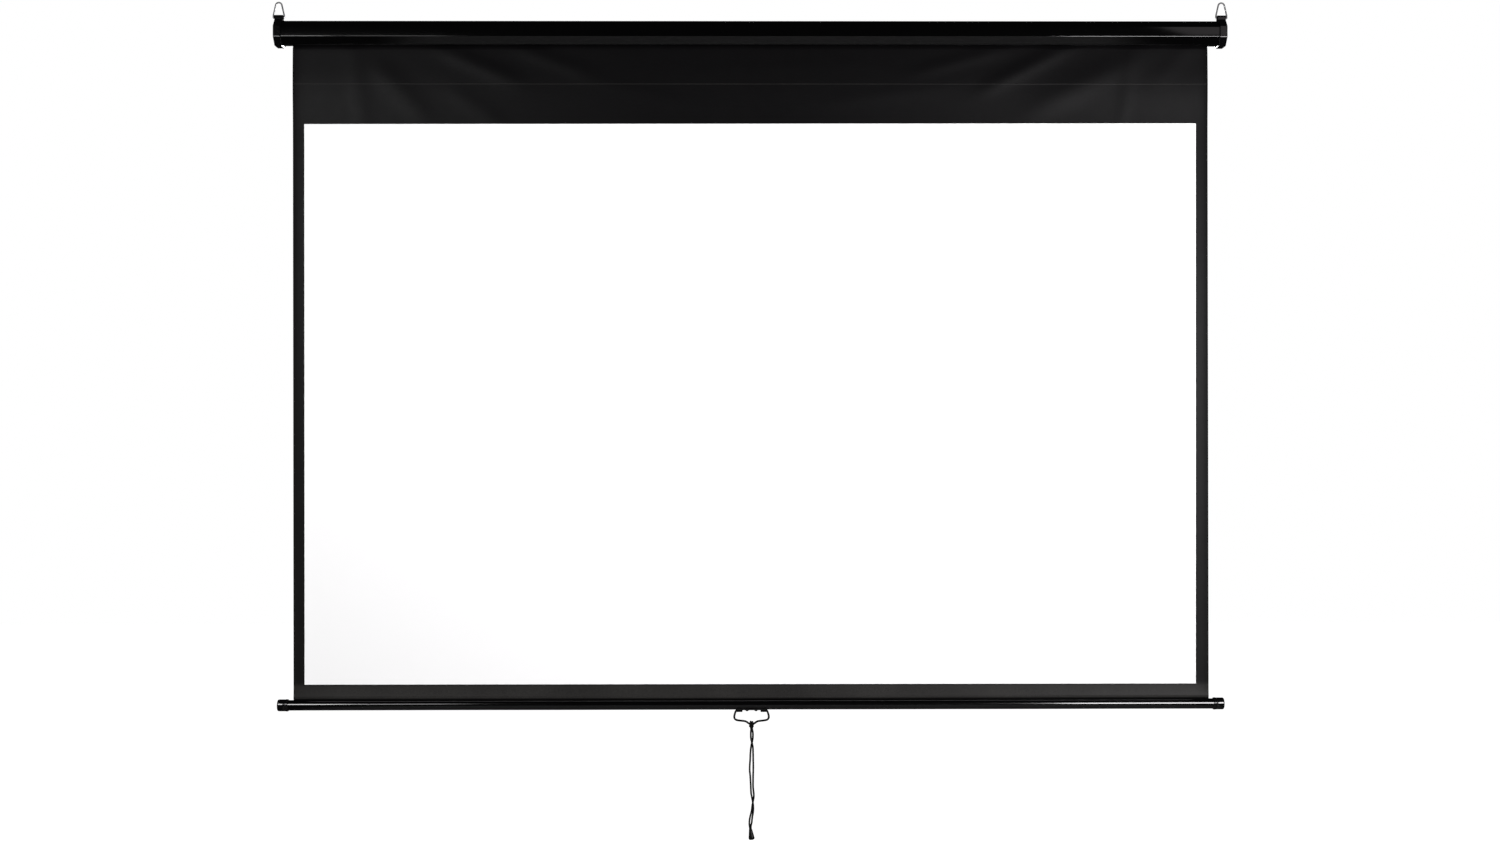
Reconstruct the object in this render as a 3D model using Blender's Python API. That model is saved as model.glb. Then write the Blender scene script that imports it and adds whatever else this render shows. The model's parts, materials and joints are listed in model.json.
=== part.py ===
"""Manual pull-down projection screen with a spring roller, hung by two wire rings.

Metres. +X is to the right seen from the front, -Y faces the viewers, +Z is up.
The origin is the middle of the casing's flat back, which lies against the wall.
"""

import math

import bmesh
import bpy
import numpy as np
from mathutils import Matrix, Vector

# Clearances
GAP = 0.0003
WALL_CLEARANCE = 0.0026
ROLL_CLEARANCE_FRONT = 0.0008
ROLL_CLEARANCE_TOP = 0.0029
TOP_STOP_CLEARANCE = 0.0010
ROLLER_END_PLAY = 0.0050

# Fabric
PICTURE_WIDTH = 2.0000
PICTURE_HEIGHT = 1.2585
SIDE_BORDER = 0.0243
TOP_BORDER = 0.1724
BOTTOM_BORDER = 0.0334
FABRIC_THICKNESS = 0.0004
VIEWING_LAYER = 0.0002
HEM_HEIGHT = 0.0090

# Bottom bar
BAR_RADIUS = 0.0110
BAR_WALL = 0.0010
BAR_SLOT = 0.0026
BAR_SIDE_ROOM = 0.0357
HEM_ROD_RADIUS = 0.0030
BAR_CAP_LENGTH = 0.0235
BAR_CAP_WALL = 0.00155
BAR_CAP_END = 0.0025
BAR_CAP_CHAMFER = 0.0022
COLLAR_HEIGHT = 0.00055
COLLAR_LENGTH = 0.0050

# Roller
ROLLER_RADIUS = 0.0165
ROLLER_WALL = 0.0009
LAPS_LEFT = 2
PLUG_FLANGE = 0.0015
PLUG_LENGTH = 0.0240
IDLE_PLUG_LENGTH = 0.0180
IDLE_PIN_RADIUS = 0.0030
IDLE_PIN_SEAT = 0.0110
BUSH_WALL = 0.0014
BUSH_FLANGE = 0.0012
BUSH_FLANGE_HEIGHT = 0.0016

# Spring shaft and spring
SHAFT_RADIUS = 0.0040
TANG_WIDTH = 0.0064
TANG_THICKNESS = 0.0026
SPRING_WIRE_RADIUS = 0.0010
SPRING_COIL_RADIUS = 0.0090
SPRING_LENGTH = 0.0900
SPRING_TURNS = 14
SPRING_CLOSING = 0.6
SPIGOT_LENGTH = 0.0180
ANCHOR_FLANGE = 0.0030
DRIVE_PLUG_BODY = 0.0120
SHAFT_LEAD = 0.0300

# Pawl lock
CUP_RADIUS = 0.0130
CUP_DEPTH = 0.0075
DISC_RADIUS = 0.0065
DISC_THICKNESS = 0.0040
NOTCH_HALF_WIDTH = 0.0021
NOTCH_DEPTH = 0.0016
PAWL_THICKNESS = 0.0032
PAWL_ARM = 0.0065
PAWL_LIFT = 0.0006
PAWL_NOSE_DROP = 0.0012
PAWL_NOSE_HALF_WIDTH = 0.0008
PAWL_EYE_RADIUS = 0.0020
PAWL_BACK = 0.0009
PAWL_BELLY = 0.0006
PAWL_PIN_RADIUS = 0.0009
PAWL_PIN_SEAT = 0.0040

# Casing
FRONT_FACET = 0.0216
FACET_RUN = 0.0150
BACK_FACE = 0.0300
SHEET_METAL = 0.0008
BEND_RADIUS = 0.0020
SLOT_WIDTH = 0.0080
SLOT_LIP = 0.0045
CASING_SIDE_ROOM = 0.0357

# End caps
CAP_RIM = 0.0040
CAP_WIDTH = 0.0160
CAP_END_WALL = 0.0030
CAP_CORNER_RADIUS = 0.0025
CAP_EDGE_CHAMFER = 0.0012
SPIGOT_WALL = 0.0016
BRACKET_THICKNESS = 0.0015
BRACKET_WIDTH = 0.0240
BRACKET_HEIGHT = 0.0300
SCREW_RADIUS = 0.0018
SCREW_HEAD_RADIUS = 0.0034
SCREW_HEAD_DEPTH = 0.0018
SCREW_OFFSET = 0.0105
SCREW_TIP = 0.0022

# Hanging lugs and rings
LUG_WIDTH = 0.0200
LUG_HEIGHT = 0.0151
LUG_DEPTH = 0.0140
LUG_SHIFT = 0.0014
LUG_GUSSET = 0.0034
LUG_HEAD = 0.0060
LUG_TOP_RADIUS = 0.0045
RING_WIRE_RADIUS = 0.0011
RING_RISE = 0.0298
RING_CROWN_RADIUS = 0.0070
RING_PIVOT_DROP = 0.0066
RING_STUB = 0.0048
RING_BEND = 0.0018

# Handle
BRACKET_PLATE = 0.0012
HANDLE_BRACKET_LENGTH = 0.0666
HANDLE_BRACKET_ANGLE = 52.0
SLEEVE_LENGTH = 0.0130
SLEEVE_WALL = 0.00055
SLEEVE_COVER = 0.00035
BAIL_WIRE_RADIUS = 0.0013
HANDLE_SCREW_SPACING = 0.0200
HANDLE_SCREW_HEAD = 0.0012
HANDLE_SCREW_HEAD_RADIUS = 0.00325
HANDLE_SCREW_RADIUS = 0.0016
HANDLE_SCREW_DOME = 0.7
HANDLE_SCREW_REACH = 0.0025

# Bail: half of its route from the sleeve's end to the dip, as steps outward and
# down from the sleeve's mouth on the pivot line
BAIL_STUB = 0.0090
BAIL_ROUTE = (
    (0.0006, 0.0),
    (0.0021, -0.0016),
    (0.0032, -0.0048),
    (0.0043, -0.0092),
    (0.0054, -0.0150),
    (0.0046, -0.0190),
    (0.0012, -0.0216),
    (-0.0060, -0.0226),
    (-0.0150, -0.0233),
    (-0.0206, -0.0244),
    (-0.0272, -0.0286),
)
BAIL_DIP = 0.0314
WIRE_STEP = 0.0026

# Pull cord: the knot, the two strands and the bell, as steps from the bail's dip
CORD_RADIUS = 0.00125
CORD_STEP = 0.0068
STRAND_SPREAD = 0.00155
KNOT_BORE_CLEARANCE = 0.0013
KNOT_ROPE_RADIUS = 0.0016
KNOT_BALL = (0.0052, 0.0036, 0.0036)
KNOT_BALL_DROP = 0.0028
BELL_RADIUS = 0.0060
BELL_LENGTH = 0.0215
BELL_TILT = 7.0
BELL_TOP = (-0.0026, -0.2366)
BELL_PROFILE = (
    (0.0, 0.0),
    (0.0, 0.48),
    (0.12, 0.48),
    (0.45, 0.68),
    (0.72, 0.95),
    (0.86, 1.0),
    (0.96, 0.82),
    (1.0, 0.45),
    (1.0, 0.0),
)
FRONT_STRAND = (
    (-0.0013, -0.0093),
    (-0.0025, -0.0196),
    (-0.0018, -0.0308),
    (0.0004, -0.0398),
    (0.0022, -0.0487),
    (0.0031, -0.0644),
    (0.0036, -0.0801),
    (0.0031, -0.0980),
    (0.0027, -0.1182),
    (0.0027, -0.1361),
    (0.0040, -0.1473),
    (0.0046, -0.1563),
    (0.0031, -0.1675),
    (0.0015, -0.1809),
    (0.0006, -0.1921),
    (-0.0022, -0.2033),
    (-0.0044, -0.2135),
    (-0.0046, -0.2235),
)
REAR_STRAND = (
    (0.0013, -0.0093),
    (0.0025, -0.0196),
    (0.0018, -0.0308),
    (0.0002, -0.0398),
    (-0.0020, -0.0487),
    (-0.0029, -0.0644),
    (-0.0043, -0.0801),
    (-0.0049, -0.0980),
    (-0.0040, -0.1160),
    (-0.0031, -0.1316),
    (-0.0016, -0.1451),
    (0.0000, -0.1563),
    (0.0011, -0.1675),
    (0.0025, -0.1809),
    (0.0022, -0.1921),
    (0.0008, -0.2033),
    (-0.0008, -0.2135),
    (-0.0018, -0.2235),
)

# Smoothness
ROUND = 28
SMALL_ROUND = 18
TINY_ROUND = 12
COIL_POINTS = 14
CORNER_STEPS = 3
CORNER_SHARE = 0.45
ROUTE_STEPS = 24
BAR_STEPS = 32

# Sizes that follow from the ones above
fabric_width = PICTURE_WIDTH + 2 * SIDE_BORDER
bar_bore = BAR_RADIUS + GAP
bar_cap_radius = bar_bore + BAR_CAP_WALL
collar_radius = bar_cap_radius + COLLAR_HEIGHT
fabric_depth = collar_radius + WALL_CLEARANCE
roll_radius = ROLLER_RADIUS + GAP + LAPS_LEFT * FABRIC_THICKNESS
axis_y = -(fabric_depth + FABRIC_THICKNESS / 2 + GAP + roll_radius)
drop_length = TOP_BORDER + PICTURE_HEIGHT + BOTTOM_BORDER
full_roll_radius = math.sqrt(roll_radius**2 + drop_length * FABRIC_THICKNESS / math.pi)
casing_depth = -axis_y + full_roll_radius + ROLL_CLEARANCE_FRONT + SHEET_METAL
half_height = full_roll_radius + ROLL_CLEARANCE_TOP + SHEET_METAL
picture_top = -half_height - TOP_BORDER
picture_bottom = picture_top - PICTURE_HEIGHT
bar_z = picture_bottom - BOTTOM_BORDER - BAR_RADIUS
bar_end = fabric_width / 2 + BAR_SIDE_ROOM
cap_end = fabric_width / 2 + CASING_SIDE_ROOM
cap_inner = cap_end - CAP_WIDTH
cap_floor = cap_end - CAP_END_WALL
casing_end = cap_floor - GAP
cap_half_height = half_height + CAP_RIM
bar_top_z = -(cap_half_height + TOP_STOP_CLEARANCE + collar_radius)
bar_travel = bar_top_z - bar_z
rear_run = fabric_depth - SLOT_WIDTH / 2
bracket_outer = cap_floor - GAP
bracket_inner = bracket_outer - BRACKET_THICKNESS
roller_face = bracket_inner - ROLLER_END_PLAY
roller_end = roller_face - PLUG_FLANGE - GAP
plug_radius = ROLLER_RADIUS - ROLLER_WALL - GAP
lug_x = cap_end - CAP_WIDTH / 2 + LUG_SHIFT
lug_y = -casing_depth / 2
lug_top = half_height + LUG_HEIGHT
ring_z = lug_top - RING_PIVOT_DROP
ring_side = LUG_WIDTH / 2 + GAP + RING_WIRE_RADIUS
sleeve_bore = BAIL_WIRE_RADIUS + GAP
saddle_radius = BAR_RADIUS + GAP
handle_drop = saddle_radius + SLEEVE_COVER + sleeve_bore
handle_z = bar_z - handle_drop
dip_z = handle_z - BAIL_DIP


def clear_scene():
    for obj in list(bpy.data.objects):
        bpy.data.objects.remove(obj, do_unlink=True)


def material(name, colour, roughness, metallic=0.0):
    """A plain surface of one colour, roughness and metallic value."""
    mat = bpy.data.materials.new(name)
    mat.use_nodes = True
    shader = mat.node_tree.nodes["Principled BSDF"]
    shader.inputs["Base Color"].default_value = (*colour, 1.0)
    shader.inputs["Roughness"].default_value = roughness
    shader.inputs["Metallic"].default_value = metallic
    return mat


def pivot(name, location, parent=None):
    """An empty on a joint's axis, which carries the pieces that move about it."""
    empty = bpy.data.objects.new(name, None)
    bpy.context.collection.objects.link(empty)
    empty["world"] = tuple(location)
    above = Vector(parent["world"]) if parent else Vector()
    empty.location = Vector(location) - above
    empty.parent = parent
    return empty


def place(obj, mat, origin, parent, smooth_angle):
    """Link a piece, with its own origin at the given world point."""
    bpy.context.collection.objects.link(obj)
    above = Vector(parent["world"]) if parent else Vector()
    obj.parent = parent
    obj.location = Vector(origin) - above
    if mat:
        obj.data.materials.append(mat)
    if smooth_angle and obj.type == "MESH":
        obj.data.shade_smooth()
        obj.data.set_sharp_from_angle(angle=math.radians(smooth_angle))
    return obj


def solid(name, bm, mat, origin=(0, 0, 0), parent=None, smooth_angle=35):
    """Turn a bmesh drawn in world coordinates into a placed object."""
    bmesh.ops.recalc_face_normals(bm, faces=bm.faces)
    bmesh.ops.translate(bm, verts=bm.verts, vec=-Vector(origin))
    mesh = bpy.data.meshes.new(name)
    bm.to_mesh(mesh)
    bm.free()
    return place(bpy.data.objects.new(name, mesh), mat, origin, parent, smooth_angle)


def tool(name, bm):
    """A guide shape for cuts and joins, which isn't part of the screen."""
    obj = solid(name, bm, None)
    obj.hide_render = True
    obj.display_type = "WIRE"
    return obj


def combine(obj, other, operation):
    step = obj.modifiers.new(operation.title() + "_" + other.name, "BOOLEAN")
    step.operation = operation
    step.object = other
    step.solver = "EXACT"


def cut(obj, other):
    combine(obj, other, "DIFFERENCE")


def join(obj, other):
    combine(obj, other, "UNION")


def prism(outline, low, high, axis="X"):
    """A flat outline carried straight along an axis.

    The outline's two numbers are (y, z) along X, (x, z) along Y and (x, y) along Z.
    """
    order = {"X": (2, 0, 1), "Y": (0, 2, 1), "Z": (0, 1, 2)}[axis]

    def spot(point):
        full = (point[0], point[1], low)
        return Vector(full[i] for i in order)

    bm = bmesh.new()
    face = bm.faces.new([bm.verts.new(spot(point)) for point in outline])
    swept = bmesh.ops.extrude_face_region(bm, geom=[face])
    moved = [item for item in swept["geom"] if isinstance(item, bmesh.types.BMVert)]
    step = Vector((high - low) if way == 2 else 0.0 for way in order)
    bmesh.ops.translate(bm, verts=moved, vec=step)
    return bm


def box(low, high):
    outline = ((low[1], low[2]), (high[1], low[2]), (high[1], high[2]), (low[1], high[2]))
    return prism(outline, low[0], high[0])


def turned(profile, centre, closed, steps=ROUND):
    """Spin a profile of (x, radius) points about a line along X through centre."""
    bm = bmesh.new()
    verts = [bm.verts.new((x, centre[0], centre[1] + radius)) for x, radius in profile]
    pairs = list(zip(verts, verts[1:]))
    if closed:
        pairs.append((verts[-1], verts[0]))
    edges = [bm.edges.new(pair) for pair in pairs]
    bmesh.ops.spin(
        bm,
        geom=verts + edges,
        cent=(0, centre[0], centre[1]),
        axis=(1, 0, 0),
        angle=math.tau,
        steps=steps,
        use_merge=True,
    )
    bmesh.ops.remove_doubles(bm, verts=bm.verts, dist=0.000001)
    return bm


def tube(x_low, x_high, inner, outer, centre, steps=ROUND):
    profile = ((x_low, inner), (x_low, outer), (x_high, outer), (x_high, inner))
    return turned(profile, centre, True, steps)


def rod(x_low, x_high, radius, centre, steps=ROUND):
    profile = ((x_low, 0.0), (x_low, radius), (x_high, radius), (x_high, 0.0))
    return turned(profile, centre, False, steps)


def rounded(points, radius, steps=CORNER_STEPS, closed=True):
    """Replace each corner by an arc that touches both its sides.

    The arc starts at radius * tan(turn / 2) from the corner, and never takes more
    than its share of the shorter side.
    """
    points = [Vector(point) for point in points]
    last = len(points) - 1
    result = []
    for i, corner in enumerate(points):
        if not closed and i in (0, last):
            result.append(tuple(corner))
            continue
        back = points[i - 1] - corner
        ahead = points[(i + 1) % len(points)] - corner
        turn = math.pi - back.angle(ahead)
        reach = radius * math.tan(turn / 2)
        share = CORNER_SHARE * min(back.length, ahead.length)
        reach = min(reach, share)
        start = corner + back.normalized() * reach
        end = corner + ahead.normalized() * reach
        size = reach / math.tan(turn / 2)
        middle = (back.normalized() + ahead.normalized()).normalized()
        centre = corner + middle * (size / math.cos(turn / 2))
        from_centre = start - centre
        to_centre = end - centre
        for step in range(steps + 1):
            part = step / steps
            first = math.sin((1 - part) * turn) / math.sin(turn)
            second = math.sin(part * turn) / math.sin(turn)
            result.append(tuple(centre + from_centre * first + to_centre * second))
    return result


def moved_sides(points, distances):
    """Move each side of a closed outline outwards by its own distance."""
    points = [Vector(point) for point in points]
    count = len(points)
    area = sum(points[i - 1].cross(points[i]) for i in range(count))
    way = 1.0 if area > 0 else -1.0
    lines = []
    for i in range(count):
        along = (points[(i + 1) % count] - points[i]).normalized()
        outward = Vector((along.y, -along.x)) * way
        lines.append((points[i] + outward * distances[i], along))
    result = []
    for i in range(count):
        first, first_way = lines[i - 1]
        second, second_way = lines[i]
        share = (second - first).cross(second_way) / first_way.cross(second_way)
        result.append(tuple(first + first_way * share))
    return result


def casing_corners():
    """The casing's outside corners as (y, z), from the front facet's foot upwards."""
    front = -casing_depth
    shoulder = front + FACET_RUN
    half = half_height
    return (
        (front, -FRONT_FACET / 2),
        (front, FRONT_FACET / 2),
        (shoulder, half),
        (-rear_run, half),
        (0.0, BACK_FACE / 2),
        (0.0, -BACK_FACE / 2),
        (-rear_run, -half),
        (shoulder, -half),
    )


def casing_outline(distance, back_distance, radius):
    """The casing's outline grown by one distance, with another at its back."""
    corners = casing_corners()
    distances = []
    for y, after in zip(corners, corners[1:] + corners[:1]):
        at_back = y[0] == 0.0 and after[0] == 0.0
        distances.append(back_distance if at_back else distance)
    return rounded(moved_sides(corners, distances), radius)


def smooth_route(points, step):
    """Points an equal step apart along one smooth curve through the given points."""
    spots = np.array(points, float)
    spots = np.vstack((2 * spots[0] - spots[1], spots, 2 * spots[-1] - spots[-2]))
    t = np.linspace(0.0, 1.0, ROUTE_STEPS, endpoint=False)[:, None]
    pieces = []
    for a, b, c, d in zip(spots, spots[1:], spots[2:], spots[3:]):
        curve = 2 * b + (c - a) * t + (2 * a - 5 * b + 4 * c - d) * t**2
        pieces.append((curve + (3 * b - a - 3 * c + d) * t**3) / 2)
    fine = np.vstack(pieces + [spots[-2][None, :]])
    run = np.concatenate(([0.0], np.cumsum(np.linalg.norm(np.diff(fine, axis=0), axis=1))))
    count = max(2, int(round(run[-1] / step)) + 1)
    wanted = np.linspace(0.0, run[-1], count)
    return np.stack([np.interp(wanted, run, fine[:, i]) for i in range(3)], axis=1)


def wire(name, points, radius, mat, origin, parent, sides=2):
    """A round wire or cord: a bevelled curve through the points, its ends filled."""
    data = bpy.data.curves.new(name, "CURVE")
    data.dimensions = "3D"
    data.bevel_depth = radius
    data.bevel_resolution = sides
    data.use_fill_caps = True
    spline = data.splines.new("POLY")
    spline.points.add(len(points) - 1)
    for point, spot in zip(spline.points, points):
        point.co = (*(Vector(spot) - Vector(origin)), 1.0)
    return place(bpy.data.objects.new(name, data), mat, origin, parent, None)


# Casing, end caps and brackets


def make_casing(mat):
    """Roll-formed sheet: a seven-sided shell, open along the fabric's slot."""
    half = half_height
    front_lip = -(fabric_depth + SLOT_WIDTH / 2)
    corners = list(casing_corners())
    path = [(front_lip, -half + SLOT_LIP), (front_lip, -half), corners[7]]
    path += corners[0:6]
    path += [(-rear_run, -half), (-rear_run, -half + SLOT_LIP)]
    path = rounded(path, BEND_RADIUS, closed=False)
    bm = bmesh.new()
    verts = [bm.verts.new((-casing_end, y, z)) for y, z in path]
    edges = [bm.edges.new(pair) for pair in zip(verts, verts[1:])]
    swept = bmesh.ops.extrude_edge_only(bm, edges=edges)
    moved = [item for item in swept["geom"] if isinstance(item, bmesh.types.BMVert)]
    bmesh.ops.translate(bm, verts=moved, vec=(2 * casing_end, 0, 0))
    bm.normal_update()
    bottom = min(bm.faces, key=lambda face: face.calc_center_median().z)
    if bottom.normal.z > 0:
        bmesh.ops.reverse_faces(bm, faces=bm.faces)
    mesh = bpy.data.meshes.new("casing")
    bm.to_mesh(mesh)
    bm.free()
    casing = place(bpy.data.objects.new("casing", mesh), mat, (0, 0, 0), None, 25)
    wall = casing.modifiers.new("Sheet", "SOLIDIFY")
    wall.thickness = SHEET_METAL
    wall.offset = -1.0
    wall.use_even_offset = True
    return casing


def ring_prism(outer, inner, low, high):
    """A wall between two outlines that have as many points, carried along X."""
    bm = bmesh.new()
    loops = []
    for outline, x in ((outer, low), (outer, high), (inner, high), (inner, low)):
        loops.append([bm.verts.new((x, y, z)) for y, z in outline])
    count = len(outer)
    for first, second in zip(loops, loops[1:] + loops[:1]):
        for i in range(count):
            after = (i + 1) % count
            bm.faces.new((first[i], first[after], second[after], second[i]))
    return bm


def lug_tool(side, tag):
    """The hanging lug: a tongue with a round top, gusseted down to the cap's rim."""
    foot = half_height + CAP_RIM / 2
    y_low = lug_y - LUG_DEPTH / 2
    y_high = lug_y + LUG_DEPTH / 2
    tongue = [(y_low, foot), (y_low, lug_top), (y_high, lug_top), (y_high, foot)]
    crown = rounded(tongue, LUG_TOP_RADIUS, closed=False)
    inner = lug_x - LUG_WIDTH / 2
    outer = lug_x + LUG_WIDTH / 2
    tongue_tool = tool("lug_" + tag, prism(crown, side * inner, side * outer))
    front = (
        (inner, foot),
        (inner, lug_top),
        (outer, lug_top),
        (outer, lug_top - LUG_HEAD),
        (outer - LUG_GUSSET, cap_half_height),
        (outer - LUG_GUSSET, foot),
    )
    front = [(side * x, z) for x, z in front]
    profile = tool("lug_front_" + tag, prism(front, y_low - GAP, y_high + GAP, "Y"))
    combine(tongue_tool, profile, "INTERSECT")
    return tongue_tool


def make_end_cap(side, tag, mat):
    """Moulded cap: a rim over the casing, a spigot inside it and a hanging lug."""
    outer = casing_outline(CAP_RIM, 0.0, CAP_CORNER_RADIUS)
    shell = prism(outer, side * cap_inner, side * cap_end)
    ends = [edge for edge in shell.edges if all(abs(v.co.x) > cap_floor for v in edge.verts)]
    bmesh.ops.bevel(shell, geom=ends, offset=CAP_EDGE_CHAMFER, segments=2, affect="EDGES")
    cap = solid("end_cap_" + tag, shell, mat, smooth_angle=30)
    beyond = CAP_WIDTH
    mouth = cap_inner - GAP
    groove_outer = casing_outline(GAP, beyond, BEND_RADIUS)
    spigot = -(SHEET_METAL + GAP)
    groove_inner = casing_outline(spigot, spigot, BEND_RADIUS)
    groove = ring_prism(groove_outer, groove_inner, side * mouth, side * cap_floor)
    cut(cap, tool("groove_" + tag, groove))
    hollow = spigot - SPIGOT_WALL
    core = prism(casing_outline(hollow, hollow, BEND_RADIUS), side * mouth, side * cap_floor)
    cut(cap, tool("core_" + tag, core))
    notch_low = (side * mouth, -(fabric_depth + SLOT_WIDTH / 2 + 3 * SHEET_METAL), -half_height)
    notch_high = (
        side * cap_floor,
        -(rear_run - 3 * SHEET_METAL),
        -half_height + SLOT_LIP + SHEET_METAL,
    )
    cut(cap, tool("lip_notch_" + tag, box(notch_low, notch_high)))
    join(cap, lug_tool(side, tag))
    reach = LUG_WIDTH
    hole = rod(
        side * (lug_x - reach),
        side * (lug_x + reach),
        RING_WIRE_RADIUS + GAP,
        (lug_y, ring_z),
        SMALL_ROUND,
    )
    cut(cap, tool("ring_hole_" + tag, hole))
    for place_name, z in (("upper", SCREW_OFFSET), ("lower", -SCREW_OFFSET)):
        sink = screw_shape(side, z, GAP)
        cut(cap, tool(f"screw_sink_{place_name}_{tag}", sink))
    return cap


def screw_shape(side, z, extra):
    """A countersunk screw with its axis along X, or with extra the hole for it."""
    head = cap_end + extra / 2
    neck = cap_end - SCREW_HEAD_DEPTH - extra
    tip = bracket_inner - SCREW_TIP - extra
    profile = (
        (side * head, 0.0),
        (side * head, SCREW_HEAD_RADIUS + extra),
        (side * neck, SCREW_RADIUS + extra),
        (side * (tip + SCREW_RADIUS / 2), SCREW_RADIUS + extra),
        (side * tip, SCREW_RADIUS / 2 + extra),
        (side * tip, 0.0),
    )
    return turned(profile, (axis_y, z), False, SMALL_ROUND)


def make_screws(side, tag, mat):
    for place_name, z in (("upper", SCREW_OFFSET), ("lower", -SCREW_OFFSET)):
        solid(f"bracket_screw_{tag}_{place_name}", screw_shape(side, z, 0.0), mat)


def bracket_plate(side, name, mat):
    """A steel plate with round corners inside the end cap, held by two screws."""
    y_low = axis_y - BRACKET_WIDTH / 2
    y_high = axis_y + BRACKET_WIDTH / 2
    z_high = BRACKET_HEIGHT / 2
    corners = ((y_low, -z_high), (y_high, -z_high), (y_high, z_high), (y_low, z_high))
    outline = rounded(corners, CAP_CORNER_RADIUS)
    plate = solid(name, prism(outline, side * bracket_outer, side * bracket_inner), mat)
    for place_name, z in (("upper", SCREW_OFFSET), ("lower", -SCREW_OFFSET)):
        hole = rod(
            side * (bracket_inner - GAP),
            side * (bracket_outer + GAP),
            SCREW_RADIUS + GAP,
            (axis_y, z),
            SMALL_ROUND,
        )
        cut(plate, tool(f"{name}_hole_{place_name}", hole))
    return plate


def make_brackets(mat):
    tang_plate = bracket_plate(-1, "tang_bracket", mat)
    slot_y = TANG_THICKNESS / 2 + GAP
    slot_z = TANG_WIDTH / 2 + GAP
    slot = box(
        (-bracket_outer - GAP, axis_y - slot_y, -slot_z),
        (-bracket_inner + GAP, axis_y + slot_y, slot_z),
    )
    cut(tang_plate, tool("tang_slot", slot))
    idle_plate = bracket_plate(1, "idle_bracket", mat)
    seat = rod(
        bracket_inner - GAP,
        bracket_outer + GAP,
        IDLE_PIN_RADIUS + GAP + BUSH_WALL + GAP,
        (axis_y, 0.0),
    )
    cut(idle_plate, tool("bush_seat", seat))


def make_idle_bush(mat):
    """A flanged plastic bush in the right bracket, round the roller's pin."""
    bore = IDLE_PIN_RADIUS + GAP
    outer = bore + BUSH_WALL
    flange = outer + BUSH_FLANGE_HEIGHT
    face = bracket_inner - GAP
    profile = (
        (face - BUSH_FLANGE, bore),
        (face - BUSH_FLANGE, flange),
        (face, flange),
        (face, outer),
        (bracket_outer, outer),
        (bracket_outer, bore),
    )
    solid("idle_bush", turned(profile, (axis_y, 0.0), True, SMALL_ROUND), mat)


# Fixed shaft, ratchet disc, anchor and spring


def make_tang_shaft(mat):
    """The fixed shaft: a flat tang in the left bracket, then a round rod."""
    flat_start = -(cap_floor - GAP)
    rod_start = -(bracket_inner - GAP)
    rod_stop = drive_face() + DRIVE_PLUG_BODY - PLUG_FLANGE
    shaft = solid(
        "tang_shaft",
        rod(rod_start, rod_stop, SHAFT_RADIUS, (axis_y, 0.0), SMALL_ROUND),
        mat,
    )
    tang = box(
        (flat_start, axis_y - TANG_THICKNESS / 2, -TANG_WIDTH / 2),
        (rod_start + SHAFT_RADIUS, axis_y + TANG_THICKNESS / 2, TANG_WIDTH / 2),
    )
    join(shaft, tool("tang", tang))


def cup_floor():
    return -(roller_face - CUP_DEPTH)


def disc_centre():
    """The middle of the ratchet disc and of both pawls along X."""
    return cup_floor() - GAP - DISC_THICKNESS / 2


def make_ratchet_disc(mat):
    """A disc fixed on the shaft, with a notch at its top and one at its foot."""
    low = disc_centre() - DISC_THICKNESS / 2
    high = disc_centre() + DISC_THICKNESS / 2
    disc = solid(
        "ratchet_disc",
        tube(low, high, SHAFT_RADIUS + GAP, DISC_RADIUS, (axis_y, 0.0), ROUND),
        mat,
    )
    for tag, way in (("top", 1), ("foot", -1)):
        z_low, z_high = sorted((way * (DISC_RADIUS - NOTCH_DEPTH), way * 2 * DISC_RADIUS))
        notch = box(
            (low - GAP, axis_y - NOTCH_HALF_WIDTH, z_low),
            (high + GAP, axis_y + NOTCH_HALF_WIDTH, z_high),
        )
        cut(disc, tool("notch_" + tag, notch))


def spring_start():
    """Where the spring's first coil lies on the anchor's spigot."""
    return -(roller_end - PLUG_LENGTH - SHAFT_LEAD)


def drive_face():
    """The face of the drive plug that its spigot stands on."""
    return spring_start() + SPRING_LENGTH + SPRING_WIRE_RADIUS + GAP


def spigot_radius():
    """The spigots fill the coils, less the flats between the coil's points."""
    flats = SPRING_COIL_RADIUS * (1 - math.cos(math.pi / COIL_POINTS))
    return SPRING_COIL_RADIUS - SPRING_WIRE_RADIUS - flats - GAP


def make_spring_anchor(mat):
    """A collar fixed on the shaft, with a spigot that the spring's end grips."""
    face = spring_start() - SPRING_WIRE_RADIUS - GAP
    bore = SHAFT_RADIUS + GAP
    profile = (
        (face - ANCHOR_FLANGE, bore),
        (face - ANCHOR_FLANGE, SPRING_COIL_RADIUS + SPRING_WIRE_RADIUS),
        (face, SPRING_COIL_RADIUS + SPRING_WIRE_RADIUS),
        (face, spigot_radius()),
        (face + SPIGOT_LENGTH, spigot_radius()),
        (face + SPIGOT_LENGTH, bore),
    )
    solid("spring_anchor", turned(profile, (axis_y, 0.0), True, ROUND), mat)


def make_spring(mat):
    """A torsion spring: one helix whose coils lie closer together at both ends."""
    count = int(SPRING_TURNS * COIL_POINTS)
    share = np.linspace(0.0, 1.0, count + 1)
    angle = share * SPRING_TURNS * math.tau
    along = share - SPRING_CLOSING / math.tau * np.sin(math.tau * share)
    points = np.stack(
        (
            spring_start() + along * SPRING_LENGTH,
            axis_y + SPRING_COIL_RADIUS * np.cos(angle),
            SPRING_COIL_RADIUS * np.sin(angle),
        ),
        axis=1,
    )
    origin = (spring_start(), axis_y, 0.0)
    wire("torsion_spring", points, SPRING_WIRE_RADIUS, mat, origin, None, sides=1)


# Roller


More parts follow.
